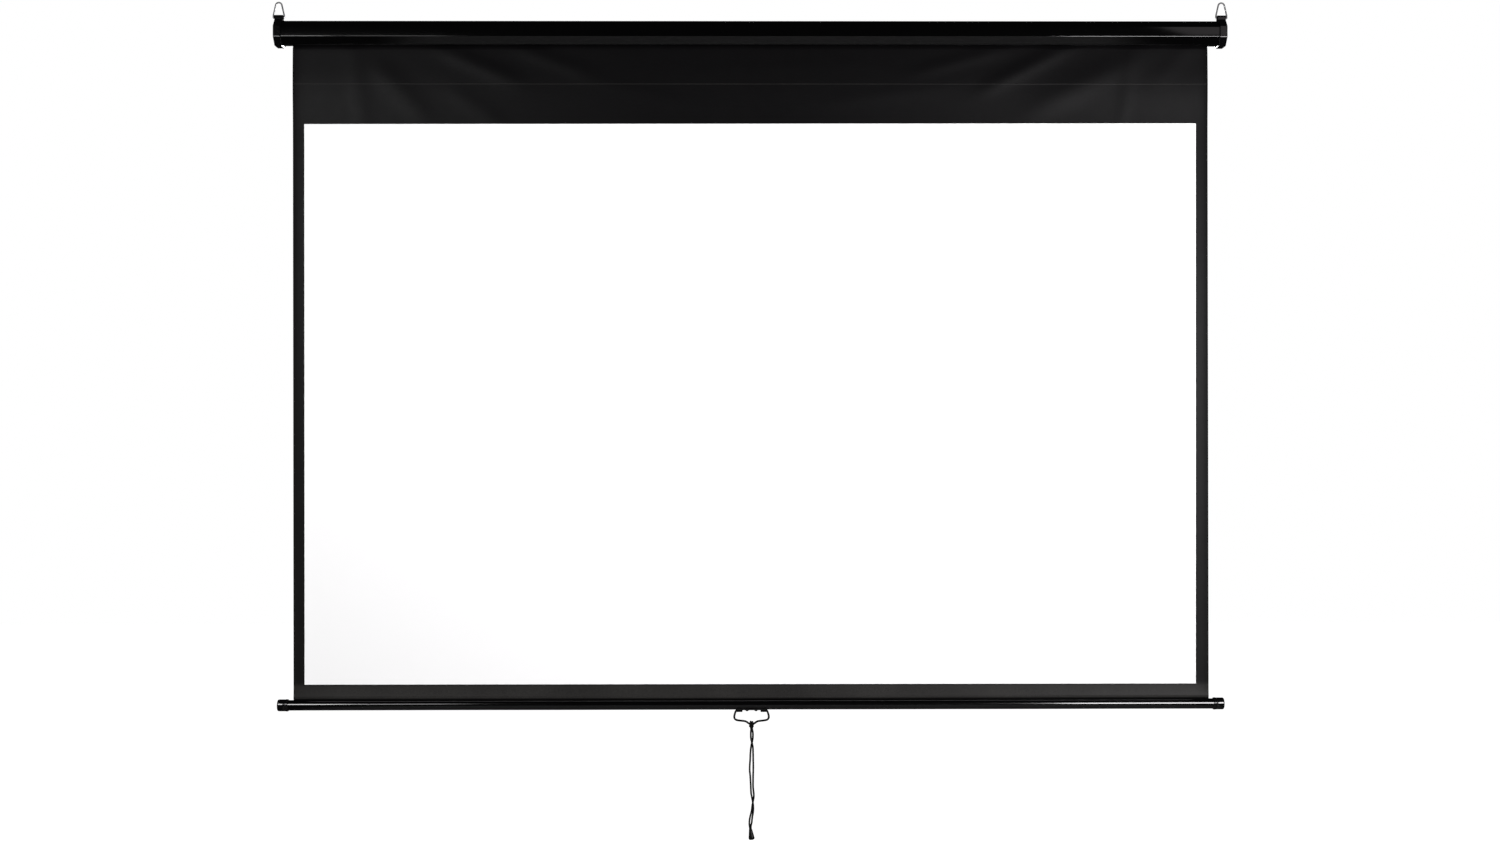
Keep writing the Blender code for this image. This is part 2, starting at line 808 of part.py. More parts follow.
def make_roller(axle, steel, plastic, fabric):
    centre = (axis_y, 0.0)
    origin = (0.0, axis_y, 0.0)
    shell = tube(-roller_end, roller_end, ROLLER_RADIUS - ROLLER_WALL, ROLLER_RADIUS, centre)
    solid("roller_tube", shell, steel, origin, axle)
    laps = tube(
        -fabric_width / 2, fabric_width / 2, ROLLER_RADIUS + GAP, roll_radius, centre
    )
    solid("fabric_roll", laps, fabric, origin, axle)
    make_spring_end_plug(axle, plastic)
    make_drive_plug(axle, plastic)
    make_idle_plug(axle, steel, plastic)


def make_spring_end_plug(axle, mat):
    """The roller's left plug, with a cup in its face for the pawls and the disc."""
    face = -roller_face
    inside = -(roller_end + GAP)
    back = -(roller_end - PLUG_LENGTH)
    bore = SHAFT_RADIUS + GAP
    profile = (
        (face, CUP_RADIUS),
        (face, ROLLER_RADIUS),
        (inside, ROLLER_RADIUS),
        (inside, plug_radius),
        (back, plug_radius),
        (back, bore),
        (cup_floor(), bore),
        (cup_floor(), CUP_RADIUS),
    )
    shape = turned(profile, (axis_y, 0.0), True)
    plug = solid("spring_end_plug", shape, mat, (0.0, axis_y, 0.0), axle)
    for tag, turn in PAWLS:
        y, z = pawl_pivot(turn)
        hole = rod(
            cup_floor() - GAP,
            cup_floor() + PAWL_PIN_SEAT + GAP,
            PAWL_PIN_RADIUS + GAP,
            (y, z),
            TINY_ROUND,
        )
        cut(plug, tool("pin_hole_" + tag, hole))


def make_drive_plug(axle, mat):
    """The plug deep in the tube that the spring's other end drives."""
    face = drive_face()
    bore = SHAFT_RADIUS + GAP
    profile = (
        (face - SPIGOT_LENGTH, bore),
        (face - SPIGOT_LENGTH, spigot_radius()),
        (face, spigot_radius()),
        (face, plug_radius),
        (face + DRIVE_PLUG_BODY, plug_radius),
        (face + DRIVE_PLUG_BODY, bore),
    )
    solid("drive_plug", turned(profile, (axis_y, 0.0), True), mat, (0.0, axis_y, 0.0), axle)


def make_idle_plug(axle, steel, plastic):
    """The roller's right plug and the steel pin that turns in the bush."""
    seat = roller_face - IDLE_PIN_SEAT
    bore = IDLE_PIN_RADIUS + GAP
    profile = (
        (roller_end - IDLE_PLUG_LENGTH, 0.0),
        (roller_end - IDLE_PLUG_LENGTH, plug_radius),
        (roller_end + GAP, plug_radius),
        (roller_end + GAP, ROLLER_RADIUS),
        (roller_face, ROLLER_RADIUS),
        (roller_face, bore),
        (seat, bore),
        (seat, 0.0),
    )
    origin = (0.0, axis_y, 0.0)
    solid("idle_end_plug", turned(profile, (axis_y, 0.0), False), plastic, origin, axle)
    pin = rod(seat + GAP, cap_floor - GAP, IDLE_PIN_RADIUS, (axis_y, 0.0), SMALL_ROUND)
    solid("idle_pin", pin, steel, origin, axle)


# The pawls lie half a turn apart on the roller
PAWLS = (("a", 0.0), ("b", math.pi))


def turned_spot(y, z, turn):
    """A point given from the roller's axis, after a turn about it, as (y, z)."""
    return (
        axis_y + y * math.cos(turn) - z * math.sin(turn),
        y * math.sin(turn) + z * math.cos(turn),
    )


def pawl_height():
    """How far a lifted pawl's pin lies above the axis, its nose just over the disc."""
    return DISC_RADIUS + PAWL_LIFT + PAWL_NOSE_DROP


def pawl_pivot(turn):
    return turned_spot(PAWL_ARM, pawl_height(), turn)


def make_pawl(axle, tag, turn, steel):
    """A strut with an eye at its pin and a square nose over the disc's notch."""
    low = disc_centre() - PAWL_THICKNESS / 2
    high = disc_centre() + PAWL_THICKNESS / 2
    pin_y, pin_z = pawl_pivot(turn)
    tip = PAWL_ARM - PAWL_NOSE_HALF_WIDTH
    toe = PAWL_ARM + PAWL_NOSE_HALF_WIDTH
    arm = (
        (0.0, PAWL_BACK),
        (-toe, PAWL_BACK),
        (-toe, -PAWL_NOSE_DROP),
        (-tip, -PAWL_NOSE_DROP),
        (-tip + PAWL_BELLY / 2, -PAWL_BELLY),
        (0.0, -PAWL_BACK),
    )
    outline = []
    for y, z in arm:
        outline.append(turned_spot(PAWL_ARM + y, pawl_height() + z, turn))
    origin = (disc_centre(), pin_y, pin_z)
    hinge = pivot("pawl_pivot_" + tag, origin, axle)
    pawl = solid("pawl_" + tag, prism(outline, low, high), steel, origin, hinge)
    eye = rod(low, high, PAWL_EYE_RADIUS, (pin_y, pin_z), SMALL_ROUND)
    join(pawl, tool("pawl_eye_" + tag, eye))
    bore = rod(low - GAP, high + GAP, PAWL_PIN_RADIUS + GAP, (pin_y, pin_z), TINY_ROUND)
    cut(pawl, tool("pawl_bore_" + tag, bore))
    pin = rod(
        low,
        cup_floor() + PAWL_PIN_SEAT,
        PAWL_PIN_RADIUS,
        (pin_y, pin_z),
        TINY_ROUND,
    )
    solid("pawl_pin_" + tag, pin, steel, origin, axle)


# Fabric


def make_fabric(black, white):
    """The hanging sheet from the roller down to the hem, and its viewing face."""
    half = fabric_width / 2
    back = -fabric_depth + FABRIC_THICKNESS / 2
    front = back - FABRIC_THICKNESS
    hem_top = bar_z + BAR_RADIUS + HEM_HEIGHT
    sheet = box((-half, front, hem_top + GAP), (half, back, 0.0))
    solid("black_fabric", sheet, black, smooth_angle=None)
    view_back = front - GAP
    view = box(
        (-PICTURE_WIDTH / 2, view_back - VIEWING_LAYER, picture_bottom),
        (PICTURE_WIDTH / 2, view_back, picture_top),
    )
    solid("white_viewing_layer", view, white, smooth_angle=None)


# Bottom bar


def hem_radius():
    return HEM_ROD_RADIUS + GAP + FABRIC_THICKNESS


def rod_height():
    """The hem rod's centre lies this far above the bar's, up against the slot."""
    return BAR_RADIUS - BAR_WALL - GAP - hem_radius()


def make_bar(carriage, steel, plastic, fabric):
    y = -fabric_depth
    origin = (0.0, y, bar_z)
    make_bar_tube(carriage, steel, origin)
    for side, tag in ((-1, "left"), (1, "right")):
        make_bar_cap(carriage, side, tag, plastic, origin)
    half = fabric_width / 2
    rod_z = bar_z + rod_height()
    hem_rod = rod(-half, half, HEM_ROD_RADIUS, (y, rod_z), SMALL_ROUND)
    solid("hem_rod", hem_rod, plastic, origin, carriage)
    make_hem(carriage, fabric, origin, rod_z)


def make_bar_tube(carriage, mat, origin):
    """A round tube with a slot along its top, as wide as the hem needs."""
    y = -fabric_depth
    start = math.asin(BAR_SLOT / 2 / BAR_RADIUS)
    angles = np.linspace(start, math.tau - start, BAR_STEPS + 1)
    end = bar_end - BAR_CAP_END - GAP
    inner = BAR_RADIUS - BAR_WALL
    outside = [(y + BAR_RADIUS * math.sin(a), bar_z + BAR_RADIUS * math.cos(a)) for a in angles]
    inside = [(y + inner * math.sin(a), bar_z + inner * math.cos(a)) for a in angles]
    bm = prism(outside + inside[::-1], -end, end)
    bar = solid("bottom_bar", bm, mat, origin, carriage)
    for tag, x in handle_screw_places():
        hole = upright_rod(x, BAR_RADIUS, HANDLE_SCREW_RADIUS + GAP)
        cut(bar, tool("bar_hole_" + tag, hole))


def make_bar_cap(carriage, side, tag, mat, origin):
    """A round cap over the bar's end, with a raised collar at its mouth."""
    mouth = bar_end - BAR_CAP_LENGTH
    step = mouth + COLLAR_LENGTH
    floor = bar_end - BAR_CAP_END
    edge = COLLAR_HEIGHT / 2
    profile = (
        (floor, 0.0),
        (floor, bar_bore),
        (mouth, bar_bore),
        (mouth, collar_radius - edge),
        (mouth + edge, collar_radius),
        (step - edge, collar_radius),
        (step, bar_cap_radius),
        (bar_end - BAR_CAP_CHAMFER, bar_cap_radius),
        (bar_end - BAR_CAP_CHAMFER / 4, bar_cap_radius - BAR_CAP_CHAMFER / 3),
        (bar_end, bar_cap_radius - BAR_CAP_CHAMFER),
        (bar_end, 0.0),
    )
    profile = [(side * x, radius) for x, radius in profile]
    shape = turned(profile, (-fabric_depth, bar_z), False)
    solid("bar_cap_" + tag, shape, mat, origin, carriage)


def make_hem(carriage, mat, origin, rod_z):
    """The sewn pocket: fabric round the rod, and both its layers up the slot."""
    y = -fabric_depth
    half = fabric_width / 2
    neck = FABRIC_THICKNESS
    outer = hem_radius()
    inner = HEM_ROD_RADIUS + GAP
    start = math.asin(neck / outer)
    angles = np.linspace(start, math.tau - start, SMALL_ROUND + 1)
    top = bar_z + BAR_RADIUS + HEM_HEIGHT
    outside = [(y + outer * math.sin(a), rod_z + outer * math.cos(a)) for a in angles]
    outline = [(y - neck, top), (y + neck, top)] + outside
    hem = solid("fabric_hem", prism(outline, -half, half), mat, origin, carriage)
    bore = rod(-half - GAP, half + GAP, inner, (y, rod_z), SMALL_ROUND)
    cut(hem, tool("hem_pocket", bore))


# Handle


def handle_screw_places():
    return (
        ("left", -HANDLE_SCREW_SPACING / 2),
        ("right", HANDLE_SCREW_SPACING / 2),
    )


def upright_rod(x, reach, radius):
    """A round hole tool along Z under the bar, reach above and below its wall."""
    low = bar_z - BAR_RADIUS - reach
    high = bar_z - BAR_RADIUS + reach
    angles = np.arange(TINY_ROUND) * math.tau / TINY_ROUND
    outline = [
        (x + radius * math.cos(a), -fabric_depth + radius * math.sin(a)) for a in angles
    ]
    return prism(outline, low, high, "Z")


def make_handle_bracket(carriage, mat):
    """A saddle under the bar whose ends are rolled into sleeves for the bail."""
    y = -fabric_depth
    origin = (0.0, y, bar_z)
    half = HANDLE_BRACKET_LENGTH / 2
    spread = math.radians(HANDLE_BRACKET_ANGLE)
    angles = np.linspace(math.pi - spread, math.pi + spread, TINY_ROUND + 1)
    outer = saddle_radius + BRACKET_PLATE
    outside = [(y + outer * math.sin(a), bar_z + outer * math.cos(a)) for a in angles]
    inside = [
        (y + saddle_radius * math.sin(a), bar_z + saddle_radius * math.cos(a)) for a in angles
    ]
    saddle = prism(outside + inside[::-1], -half, half)
    bracket = solid("handle_bracket", saddle, mat, origin, carriage)
    for tag, side in (("left", -1), ("right", 1)):
        low = side * (half - SLEEVE_LENGTH)
        high = side * half
        shell = rod(low, high, sleeve_bore + SLEEVE_WALL, (y, handle_z), SMALL_ROUND)
        join(bracket, tool("sleeve_" + tag, shell))
        bore = rod(low - side * GAP, high + side * GAP, sleeve_bore, (y, handle_z), SMALL_ROUND)
        cut(bracket, tool("sleeve_bore_" + tag, bore))
    for tag, x in handle_screw_places():
        hole = upright_rod(x, BAR_RADIUS / 2, HANDLE_SCREW_RADIUS + GAP)
        cut(bracket, tool("saddle_hole_" + tag, hole))


def make_handle_screws(carriage, mat):
    """Two pan-head screws up through the saddle into the bar."""
    y = -fabric_depth
    plate = bar_z - saddle_radius - BRACKET_PLATE - GAP
    tip = bar_z - BAR_RADIUS + BAR_WALL + HANDLE_SCREW_REACH
    for tag, x in handle_screw_places():
        low = plate - HANDLE_SCREW_HEAD
        profile = (
            (low, 0.0),
            (low, HANDLE_SCREW_HEAD_RADIUS * HANDLE_SCREW_DOME),
            (low + HANDLE_SCREW_HEAD / 2, HANDLE_SCREW_HEAD_RADIUS),
            (plate, HANDLE_SCREW_HEAD_RADIUS),
            (plate, HANDLE_SCREW_RADIUS),
            (tip - HANDLE_SCREW_RADIUS / 2, HANDLE_SCREW_RADIUS),
            (tip, 0.0),
        )
        bm = turned(profile, (0.0, 0.0), False, TINY_ROUND)
        upright = Matrix.Rotation(-math.pi / 2, 3, "Y")
        bmesh.ops.rotate(bm, verts=bm.verts, cent=(0, 0, 0), matrix=upright)
        bmesh.ops.translate(bm, verts=bm.verts, vec=(x, y, 0.0))
        solid("handle_screw_" + tag, bm, mat, (x, y, plate), carriage)


def make_bail(hinge, mat):
    """The wire handle: two stubs in the sleeves and one bent wire between them."""
    y = -fabric_depth
    mouth = HANDLE_BRACKET_LENGTH / 2
    half = [(mouth - BAIL_STUB, y, handle_z), (mouth - BAIL_STUB / 2, y, handle_z)]
    half += [(mouth + out, y, handle_z + down) for out, down in BAIL_ROUTE]
    dip = (0.0, y, dip_z)
    left = [(-x, y, z) for x, y, z in half]
    points = smooth_route(left + [dip] + half[::-1], WIRE_STEP)
    wire("handle_bail", points, BAIL_WIRE_RADIUS, mat, (0.0, y, handle_z), hinge)


# Pull cord


def bell_axis():
    """The bell's top centre and the way its axis leans, as (x, z) pairs."""
    lean = math.radians(BELL_TILT)
    top = Vector((BELL_TOP[0], dip_z + BELL_TOP[1]))
    return top, Vector((math.sin(lean), -math.cos(lean)))


def make_cord(hinge, mat):
    """A doubled cord looped on the bail's dip, its two strands crossing."""
    y = -fabric_depth
    origin = (0.0, y, dip_z)
    bore = BAIL_WIRE_RADIUS + KNOT_BORE_CLEARANCE
    ring = []
    for i in range(TINY_ROUND):
        a = i * math.tau / TINY_ROUND
        height = bore + KNOT_ROPE_RADIUS * (1 - math.cos(a))
        ring.append((KNOT_ROPE_RADIUS * math.sin(a), height))
    loop = turned(ring, (y, dip_z), True, SMALL_ROUND)
    knot = solid("cord_knot", loop, mat, origin, hinge)
    ball = bmesh.new()
    rings = TINY_ROUND // 2 + 2
    bmesh.ops.create_uvsphere(ball, u_segments=TINY_ROUND, v_segments=rings, radius=1.0)
    bmesh.ops.scale(ball, verts=ball.verts, vec=KNOT_BALL)
    ball_z = dip_z - bore - KNOT_BALL_DROP
    bmesh.ops.translate(ball, verts=ball.verts, vec=(0.0, y, ball_z))
    join(knot, tool("knot_ball", ball))
    make_strand(hinge, "cord_front_strand", FRONT_STRAND, -STRAND_SPREAD, mat)
    make_strand(hinge, "cord_rear_strand", REAR_STRAND, STRAND_SPREAD, mat)


def make_strand(hinge, name, route, shift, mat):
    """One strand, from under the knot straight down onto the bell's top."""
    top, down = bell_axis()
    y = -fabric_depth + shift
    points = [(x, y, dip_z + z) for x, z in route]
    across = Vector((-down.y, down.x))
    aside = math.copysign(STRAND_SPREAD / 2, shift)
    end = top - down * GAP + across * aside
    for spot in (end - down * CORD_STEP, end):
        points.append((spot.x, y, spot.y))
    route_points = smooth_route(points, CORD_STEP)
    wire(name, route_points, CORD_RADIUS, mat, (0.0, -fabric_depth, dip_z), hinge)


def make_bell(hinge, mat):
    """The moulded end bell, turned about its own slightly tilted axis."""
    top, down = bell_axis()
    profile = [(BELL_LENGTH * along, BELL_RADIUS * wide) for along, wide in BELL_PROFILE]
    bm = turned(profile, (0.0, 0.0), False, SMALL_ROUND)
    upright = Matrix.Rotation(math.pi / 2, 3, "Y")
    bmesh.ops.rotate(bm, verts=bm.verts, cent=(0, 0, 0), matrix=upright)
    bell = solid("cord_bell", bm, mat, (0, 0, 0), None)
    bell.parent = hinge
    bell.location = Vector((top.x, -fabric_depth, top.y)) - Vector(hinge["world"])
    bell.rotation_euler = (0.0, -math.radians(BELL_TILT), 0.0)


# Hanging rings


def make_ring(side, tag, mat):
    """A wire ring: a round crown, two straight legs and a stub into the lug each."""
    top = lug_top + RING_RISE - RING_WIRE_RADIUS
    centre = top - RING_CROWN_RADIUS
    reach = math.hypot(ring_side, centre - lug_top)
    lean = math.atan2(centre - lug_top, ring_side)
    touch = math.acos(RING_CROWN_RADIUS / reach) - lean
    arc = np.linspace(touch, math.pi - touch, SMALL_ROUND)
    crown = []
    for a in arc:
        crown.append((RING_CROWN_RADIUS * math.cos(a), centre + RING_CROWN_RADIUS * math.sin(a)))
    stub = ring_side - RING_STUB - RING_WIRE_RADIUS
    leg = [(stub, ring_z), (ring_side, ring_z), (ring_side, lug_top)]
    leg = rounded(leg, RING_BEND, closed=False)
    path = leg + crown + [(-x, z) for x, z in leg[::-1]]
    points = [(side * lug_x + x, lug_y, z) for x, z in path]
    origin = (side * lug_x, lug_y, ring_z)
    hinge = pivot("ring_pivot_" + tag, origin)
    wire("hang_ring_" + tag, points, RING_WIRE_RADIUS, mat, origin, hinge)


def build():
    clear_scene()
    casing_paint = material("gloss_black_paint", (0.012, 0.012, 0.013), 0.22, 0.0)
    cap_plastic = material("black_moulded_plastic", (0.016, 0.016, 0.017), 0.38)
    zinc = material("zinc_plated_steel", (0.55, 0.56, 0.58), 0.35, 1.0)
    spring_steel = material("spring_steel", (0.30, 0.30, 0.31), 0.30, 1.0)
    tube_steel = material("galvanised_tube", (0.50, 0.51, 0.52), 0.45, 1.0)
    nylon = material("white_nylon", (0.80, 0.80, 0.77), 0.45)
    black_cloth = material("black_fabric", (0.020, 0.020, 0.021), 0.70)
    white_cloth = material("matt_white_surface", (0.88, 0.88, 0.88), 0.85)
    bar_paint = material("satin_black_bar", (0.014, 0.014, 0.015), 0.30, 0.0)
    handle_wire = material("black_coated_wire", (0.030, 0.030, 0.031), 0.35, 0.2)
    cord_black = material("black_braided_cord", (0.018, 0.018, 0.018), 0.80)
    screw_black = material("black_screw", (0.035, 0.035, 0.036), 0.32, 0.8)

    make_casing(casing_paint)
    for side, tag in ((-1, "left"), (1, "right")):
        make_end_cap(side, tag, cap_plastic)
        make_screws(side, tag, screw_black)
        make_ring(side, tag, zinc)
    make_brackets(zinc)
    make_idle_bush(nylon)
    make_tang_shaft(zinc)
    make_ratchet_disc(zinc)
    make_spring_anchor(nylon)
    make_spring(spring_steel)

    axle = pivot("roller_axis", (0.0, axis_y, 0.0))
    make_roller(axle, tube_steel, nylon, black_cloth)
    for tag, turn in PAWLS:
        make_pawl(axle, tag, turn, zinc)

    make_fabric(black_cloth, white_cloth)
    carriage = pivot("bar_carriage", (0.0, -fabric_depth, bar_z))
    make_bar(carriage, bar_paint, cap_plastic, black_cloth)
    make_handle_bracket(carriage, casing_paint)
    make_handle_screws(carriage, screw_black)
    handle_hinge = pivot("handle_pivot", (0.0, -fabric_depth, handle_z), carriage)
    make_bail(handle_hinge, handle_wire)
    cord_hinge = pivot("cord_pivot", (0.0, -fabric_depth, dip_z), handle_hinge)
    make_cord(cord_hinge, cord_black)
    make_bell(cord_hinge, cap_plastic)


build()
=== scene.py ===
# %% [markdown]
# # A pull-down projection screen, dressed
#
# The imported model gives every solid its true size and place. This lesson keeps that
# frame fixed and makes the looks around it: rolled steel, moulded caps, hanging cloth,
# a round bar with its wire handle, and a doubled pull cord. Lengths are metres, +X is
# to the right seen from the front, -Y faces the viewers and +Z is up.

import json
import math

import bmesh
import bpy
import numpy as np
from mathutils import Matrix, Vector


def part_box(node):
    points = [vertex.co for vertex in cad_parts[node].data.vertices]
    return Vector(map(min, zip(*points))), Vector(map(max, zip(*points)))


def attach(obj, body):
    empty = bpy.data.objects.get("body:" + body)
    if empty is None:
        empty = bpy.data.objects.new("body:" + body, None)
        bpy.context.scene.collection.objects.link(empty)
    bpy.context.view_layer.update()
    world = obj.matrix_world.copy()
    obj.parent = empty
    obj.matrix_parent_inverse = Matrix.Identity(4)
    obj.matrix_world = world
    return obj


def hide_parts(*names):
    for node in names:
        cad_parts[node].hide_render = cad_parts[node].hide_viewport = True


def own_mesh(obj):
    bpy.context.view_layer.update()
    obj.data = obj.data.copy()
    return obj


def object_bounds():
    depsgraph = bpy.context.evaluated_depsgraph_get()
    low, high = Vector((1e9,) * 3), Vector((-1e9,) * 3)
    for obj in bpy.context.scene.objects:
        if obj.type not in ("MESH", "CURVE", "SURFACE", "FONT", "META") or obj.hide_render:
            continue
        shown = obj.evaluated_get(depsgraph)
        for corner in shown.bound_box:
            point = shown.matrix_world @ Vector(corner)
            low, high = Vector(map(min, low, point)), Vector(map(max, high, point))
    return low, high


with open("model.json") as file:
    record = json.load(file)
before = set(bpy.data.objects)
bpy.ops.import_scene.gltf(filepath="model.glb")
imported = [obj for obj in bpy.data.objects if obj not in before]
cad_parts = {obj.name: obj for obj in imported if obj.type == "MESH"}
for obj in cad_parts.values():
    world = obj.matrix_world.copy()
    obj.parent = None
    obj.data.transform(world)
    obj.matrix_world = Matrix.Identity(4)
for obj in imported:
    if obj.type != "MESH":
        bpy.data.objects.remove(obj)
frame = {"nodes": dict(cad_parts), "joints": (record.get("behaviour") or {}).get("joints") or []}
nodes = frame["nodes"]
cad_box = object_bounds()


def corners(node):
    """The lowest and highest corner of one solid, as two arrays."""
    low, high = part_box(node)
    return np.array(low), np.array(high)


# %% [markdown]
# ## The camera
#
# The photograph looks straight at the cloth from about 4.7 m away through a 50 mm lens.
# The casing shows a little of its underside, so the camera stands lower than the
# casing, level, near the height of the picture's middle. The right end looks slightly
# smaller than the left one: the camera stands a hair to the left of the middle.

# %% Camera
PHOTO_SIZE = (1500, 844)
LENS = 50.0
SENSOR = 36.0
CAMERA_DISTANCE = 4.67
CAMERA_TURN = math.radians(0.46)
CAMERA_ROLL = 0.001
CAMERA_AIM_X = -0.0028
CAMERA_RISE = 0.0007
CASING_ROW = 34.6
HORIZON_ROW = 422.0

cloth_low, cloth_high = corners("black_fabric")
cloth_y = (cloth_low[1] + cloth_high[1]) / 2
pixels_per_metre = PHOTO_SIZE[0] * LENS / SENSOR / CAMERA_DISTANCE
camera_z = (CASING_ROW - HORIZON_ROW) / pixels_per_metre
camera_data = bpy.data.cameras.new("camera")
camera_data.lens = LENS
camera_data.sensor_width = SENSOR
camera_data.shift_y = (HORIZON_ROW - PHOTO_SIZE[1] / 2) / PHOTO_SIZE[0]
camera = bpy.data.objects.new("camera", camera_data)
camera.location = (
    CAMERA_AIM_X - math.sin(CAMERA_TURN) * CAMERA_DISTANCE,
    cloth_y - math.cos(CAMERA_TURN) * CAMERA_DISTANCE,
    camera_z + CAMERA_RISE,
)
camera.rotation_euler = (math.pi / 2, CAMERA_ROLL, -CAMERA_TURN)
bpy.context.scene.collection.objects.link(camera)
bpy.context.scene.camera = camera
bpy.context.scene.view_settings.view_transform = "Standard"
print("camera at", [round(value, 3) for value in camera.location])


# %% [markdown]
# ## From arrays to meshes
#
# Every new piece is a surface worked out with numpy: a grid of points, whose rows and
# columns are two parameters. A grid that closes on itself is a tube, and a tube whose
# ends are closed is a solid. These few helpers turn such grids into faces, and one
# maker merges doubled points, turns the faces outwards and shades the piece.

# %% Grids, tubes and solids
MERGE = 1e-6


def quads(rows, columns, wrap_rows=False, wrap_columns=False):
    """Corner numbers of the faces between neighbouring points of a grid."""
    row = np.arange(rows if wrap_rows else rows - 1)
    column = np.arange(columns if wrap_columns else columns - 1)
    a, b = np.meshgrid(row, column, indexing="ij")
    c, d = (a + 1) % rows, (b + 1) % columns
    index = (a * columns + b, a * columns + d, c * columns + d, c * columns + b)
    return np.stack(index, axis=-1).reshape(-1, 4).tolist()


def patch(grid, wrap_rows=False, wrap_columns=False):
    """A grid of points, as (points, faces)."""
    rows, columns = grid.shape[:2]
    return grid.reshape(-1, 3), quads(rows, columns, wrap_rows, wrap_columns)


def closed_tube(grid):
    """A grid of rings with a fan from each end ring to its middle."""
    rows, columns = grid.shape[:2]
    points, faces = patch(grid, wrap_columns=True)
    ring = np.arange(columns)
    after = (ring + 1) % columns
    first = np.full(columns, rows * columns)
    last = first + 1
    start = (rows - 1) * columns
    faces += np.stack((first, after, ring), axis=1).tolist()
    faces += np.stack((last, start + ring, start + after), axis=1).tolist()
    middles = np.stack((grid[0].mean(axis=0), grid[-1].mean(axis=0)))
    return np.vstack((points, middles)), faces


def piece(name, parts, smooth_angle=35.0):
    """One object from (points, faces) pairs, merged, turned outwards and shaded."""
    points, faces, start = [], [], 0
    for part_points, part_faces in parts:
        points.append(part_points)
        faces += [[index + start for index in face] for face in part_faces]
        start += len(part_points)
    mesh = bpy.data.meshes.new(name)
    mesh.from_pydata(np.vstack(points).tolist(), [], faces)
    work = bmesh.new()
    work.from_mesh(mesh)
    bmesh.ops.remove_doubles(work, verts=work.verts, dist=MERGE)
    bmesh.ops.recalc_face_normals(work, faces=work.faces)
    work.to_mesh(mesh)
    work.free()
    mesh.shade_smooth()
    mesh.set_sharp_from_angle(angle=math.radians(smooth_angle))
    obj = bpy.data.objects.new(name, mesh)
    bpy.context.scene.collection.objects.link(obj)
    print(f"{name}: {len(mesh.vertices)} points, {len(mesh.polygons)} faces")
    return obj


def dress(obj, body, mat, slot, *stands_for):
    """Let a finished piece ride on its body, wear its material and hide its solids."""
    obj.data.materials.append(mat)
    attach(obj, body)
    if stands_for:
        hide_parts(*stands_for)


# %% [markdown]
# ## Profiles and sweeps
#
# Three recipes make most of the pieces. A profile of (along, radius) points turned
# about an axis gives the bar's caps and the bell. A circle carried along a path gives
# wires and cords. A row of corners with an arc in place of each gives bent sheet metal.

# %% Turned and swept shapes


def unit(vectors):
    """Vectors divided by their own lengths."""
    return vectors / np.linalg.norm(vectors, axis=-1, keepdims=True)


def turned(profile, origin, axis, sides):
    """Each (along, radius) point becomes a ring about the axis through the origin.

    A ring's point is origin + along * axis + radius * (cos t * u + sin t * v), where
    u and v are square to the axis and t runs once round.
    """
    axis = unit(np.array(axis, float))
    u = unit(np.cross(axis, (0.3, 0.9, 0.2)))
    v = np.cross(axis, u)
    profile = np.array(profile, float)
    t = np.arange(sides) / sides * math.tau
    spokes = np.cos(t)[:, None] * u + np.sin(t)[:, None] * v
    middle = np.array(origin, float) + profile[:, 0, None] * axis
    return middle[:, None, :] + profile[:, 1, None, None] * spokes[None, :, :]


def swept(path, radius, sides, side_way=(0.0, 1.0, 0.0), relief=None):
    """Rings square to a path: point = path + r * (cos t * side + sin t * other).

    side is side_way made square to the path, other is square to both, and relief,
    where given, is added to the radius for each ring and each point on it.
    """
    path = np.array(path, float)
    along = unit(np.gradient(path, axis=0))
    side = np.array(side_way, float)
    side = unit(side - (along @ side)[:, None] * along)
    other = np.cross(along, side)
    t = np.arange(sides) / sides * math.tau
    r = np.full((len(path), sides), radius, float)
    if relief is not None:
        r = r + relief
    spoke = np.cos(t)[None, :, None] * side[:, None] + np.sin(t)[None, :, None] * other[:, None]
    return path[:, None, :] + r[..., None] * spoke


def filleted(points, radius, steps=5, closed=False):
    """Corners swapped for arcs: each arc blends its end tangents like a circle.

    An arc starts reach = radius * tan(turn / 2) before its corner, and reach is held
    under 45% of the shorter side next to it.
    """
    p = np.array(points, float)
    back = np.roll(p, 1, axis=0) - p
    ahead = np.roll(p, -1, axis=0) - p
    room = 0.45 * np.minimum(np.linalg.norm(back, axis=1), np.linalg.norm(ahead, axis=1))
    back, ahead = unit(back), unit(ahead)
    turn = math.pi - np.arccos(np.clip((back * ahead).sum(axis=1), -1.0, 1.0))
    reach = np.minimum(radius * np.tan(turn / 2), room)
    size = reach / np.tan(turn / 2)
    middle = unit(back + ahead)
    centre = p + middle * (size / np.cos(turn / 2))[:, None]
    start = p + back * reach[:, None] - centre
    stop = p + ahead * reach[:, None] - centre
    share = np.linspace(0.0, 1.0, steps + 1)
    first = np.sin((1 - share)[None, :] * turn[:, None]) / np.sin(turn)[:, None]
    second = np.sin(share[None, :] * turn[:, None]) / np.sin(turn)[:, None]
    arcs = centre[:, None] + first[..., None] * start[:, None] + second[..., None] * stop[:, None]
    if closed:
        return arcs.reshape(-1, p.shape[1])
    inner = arcs[1:-1].reshape(-1, p.shape[1])
    return np.vstack((p[:1], inner, p[-1:]))


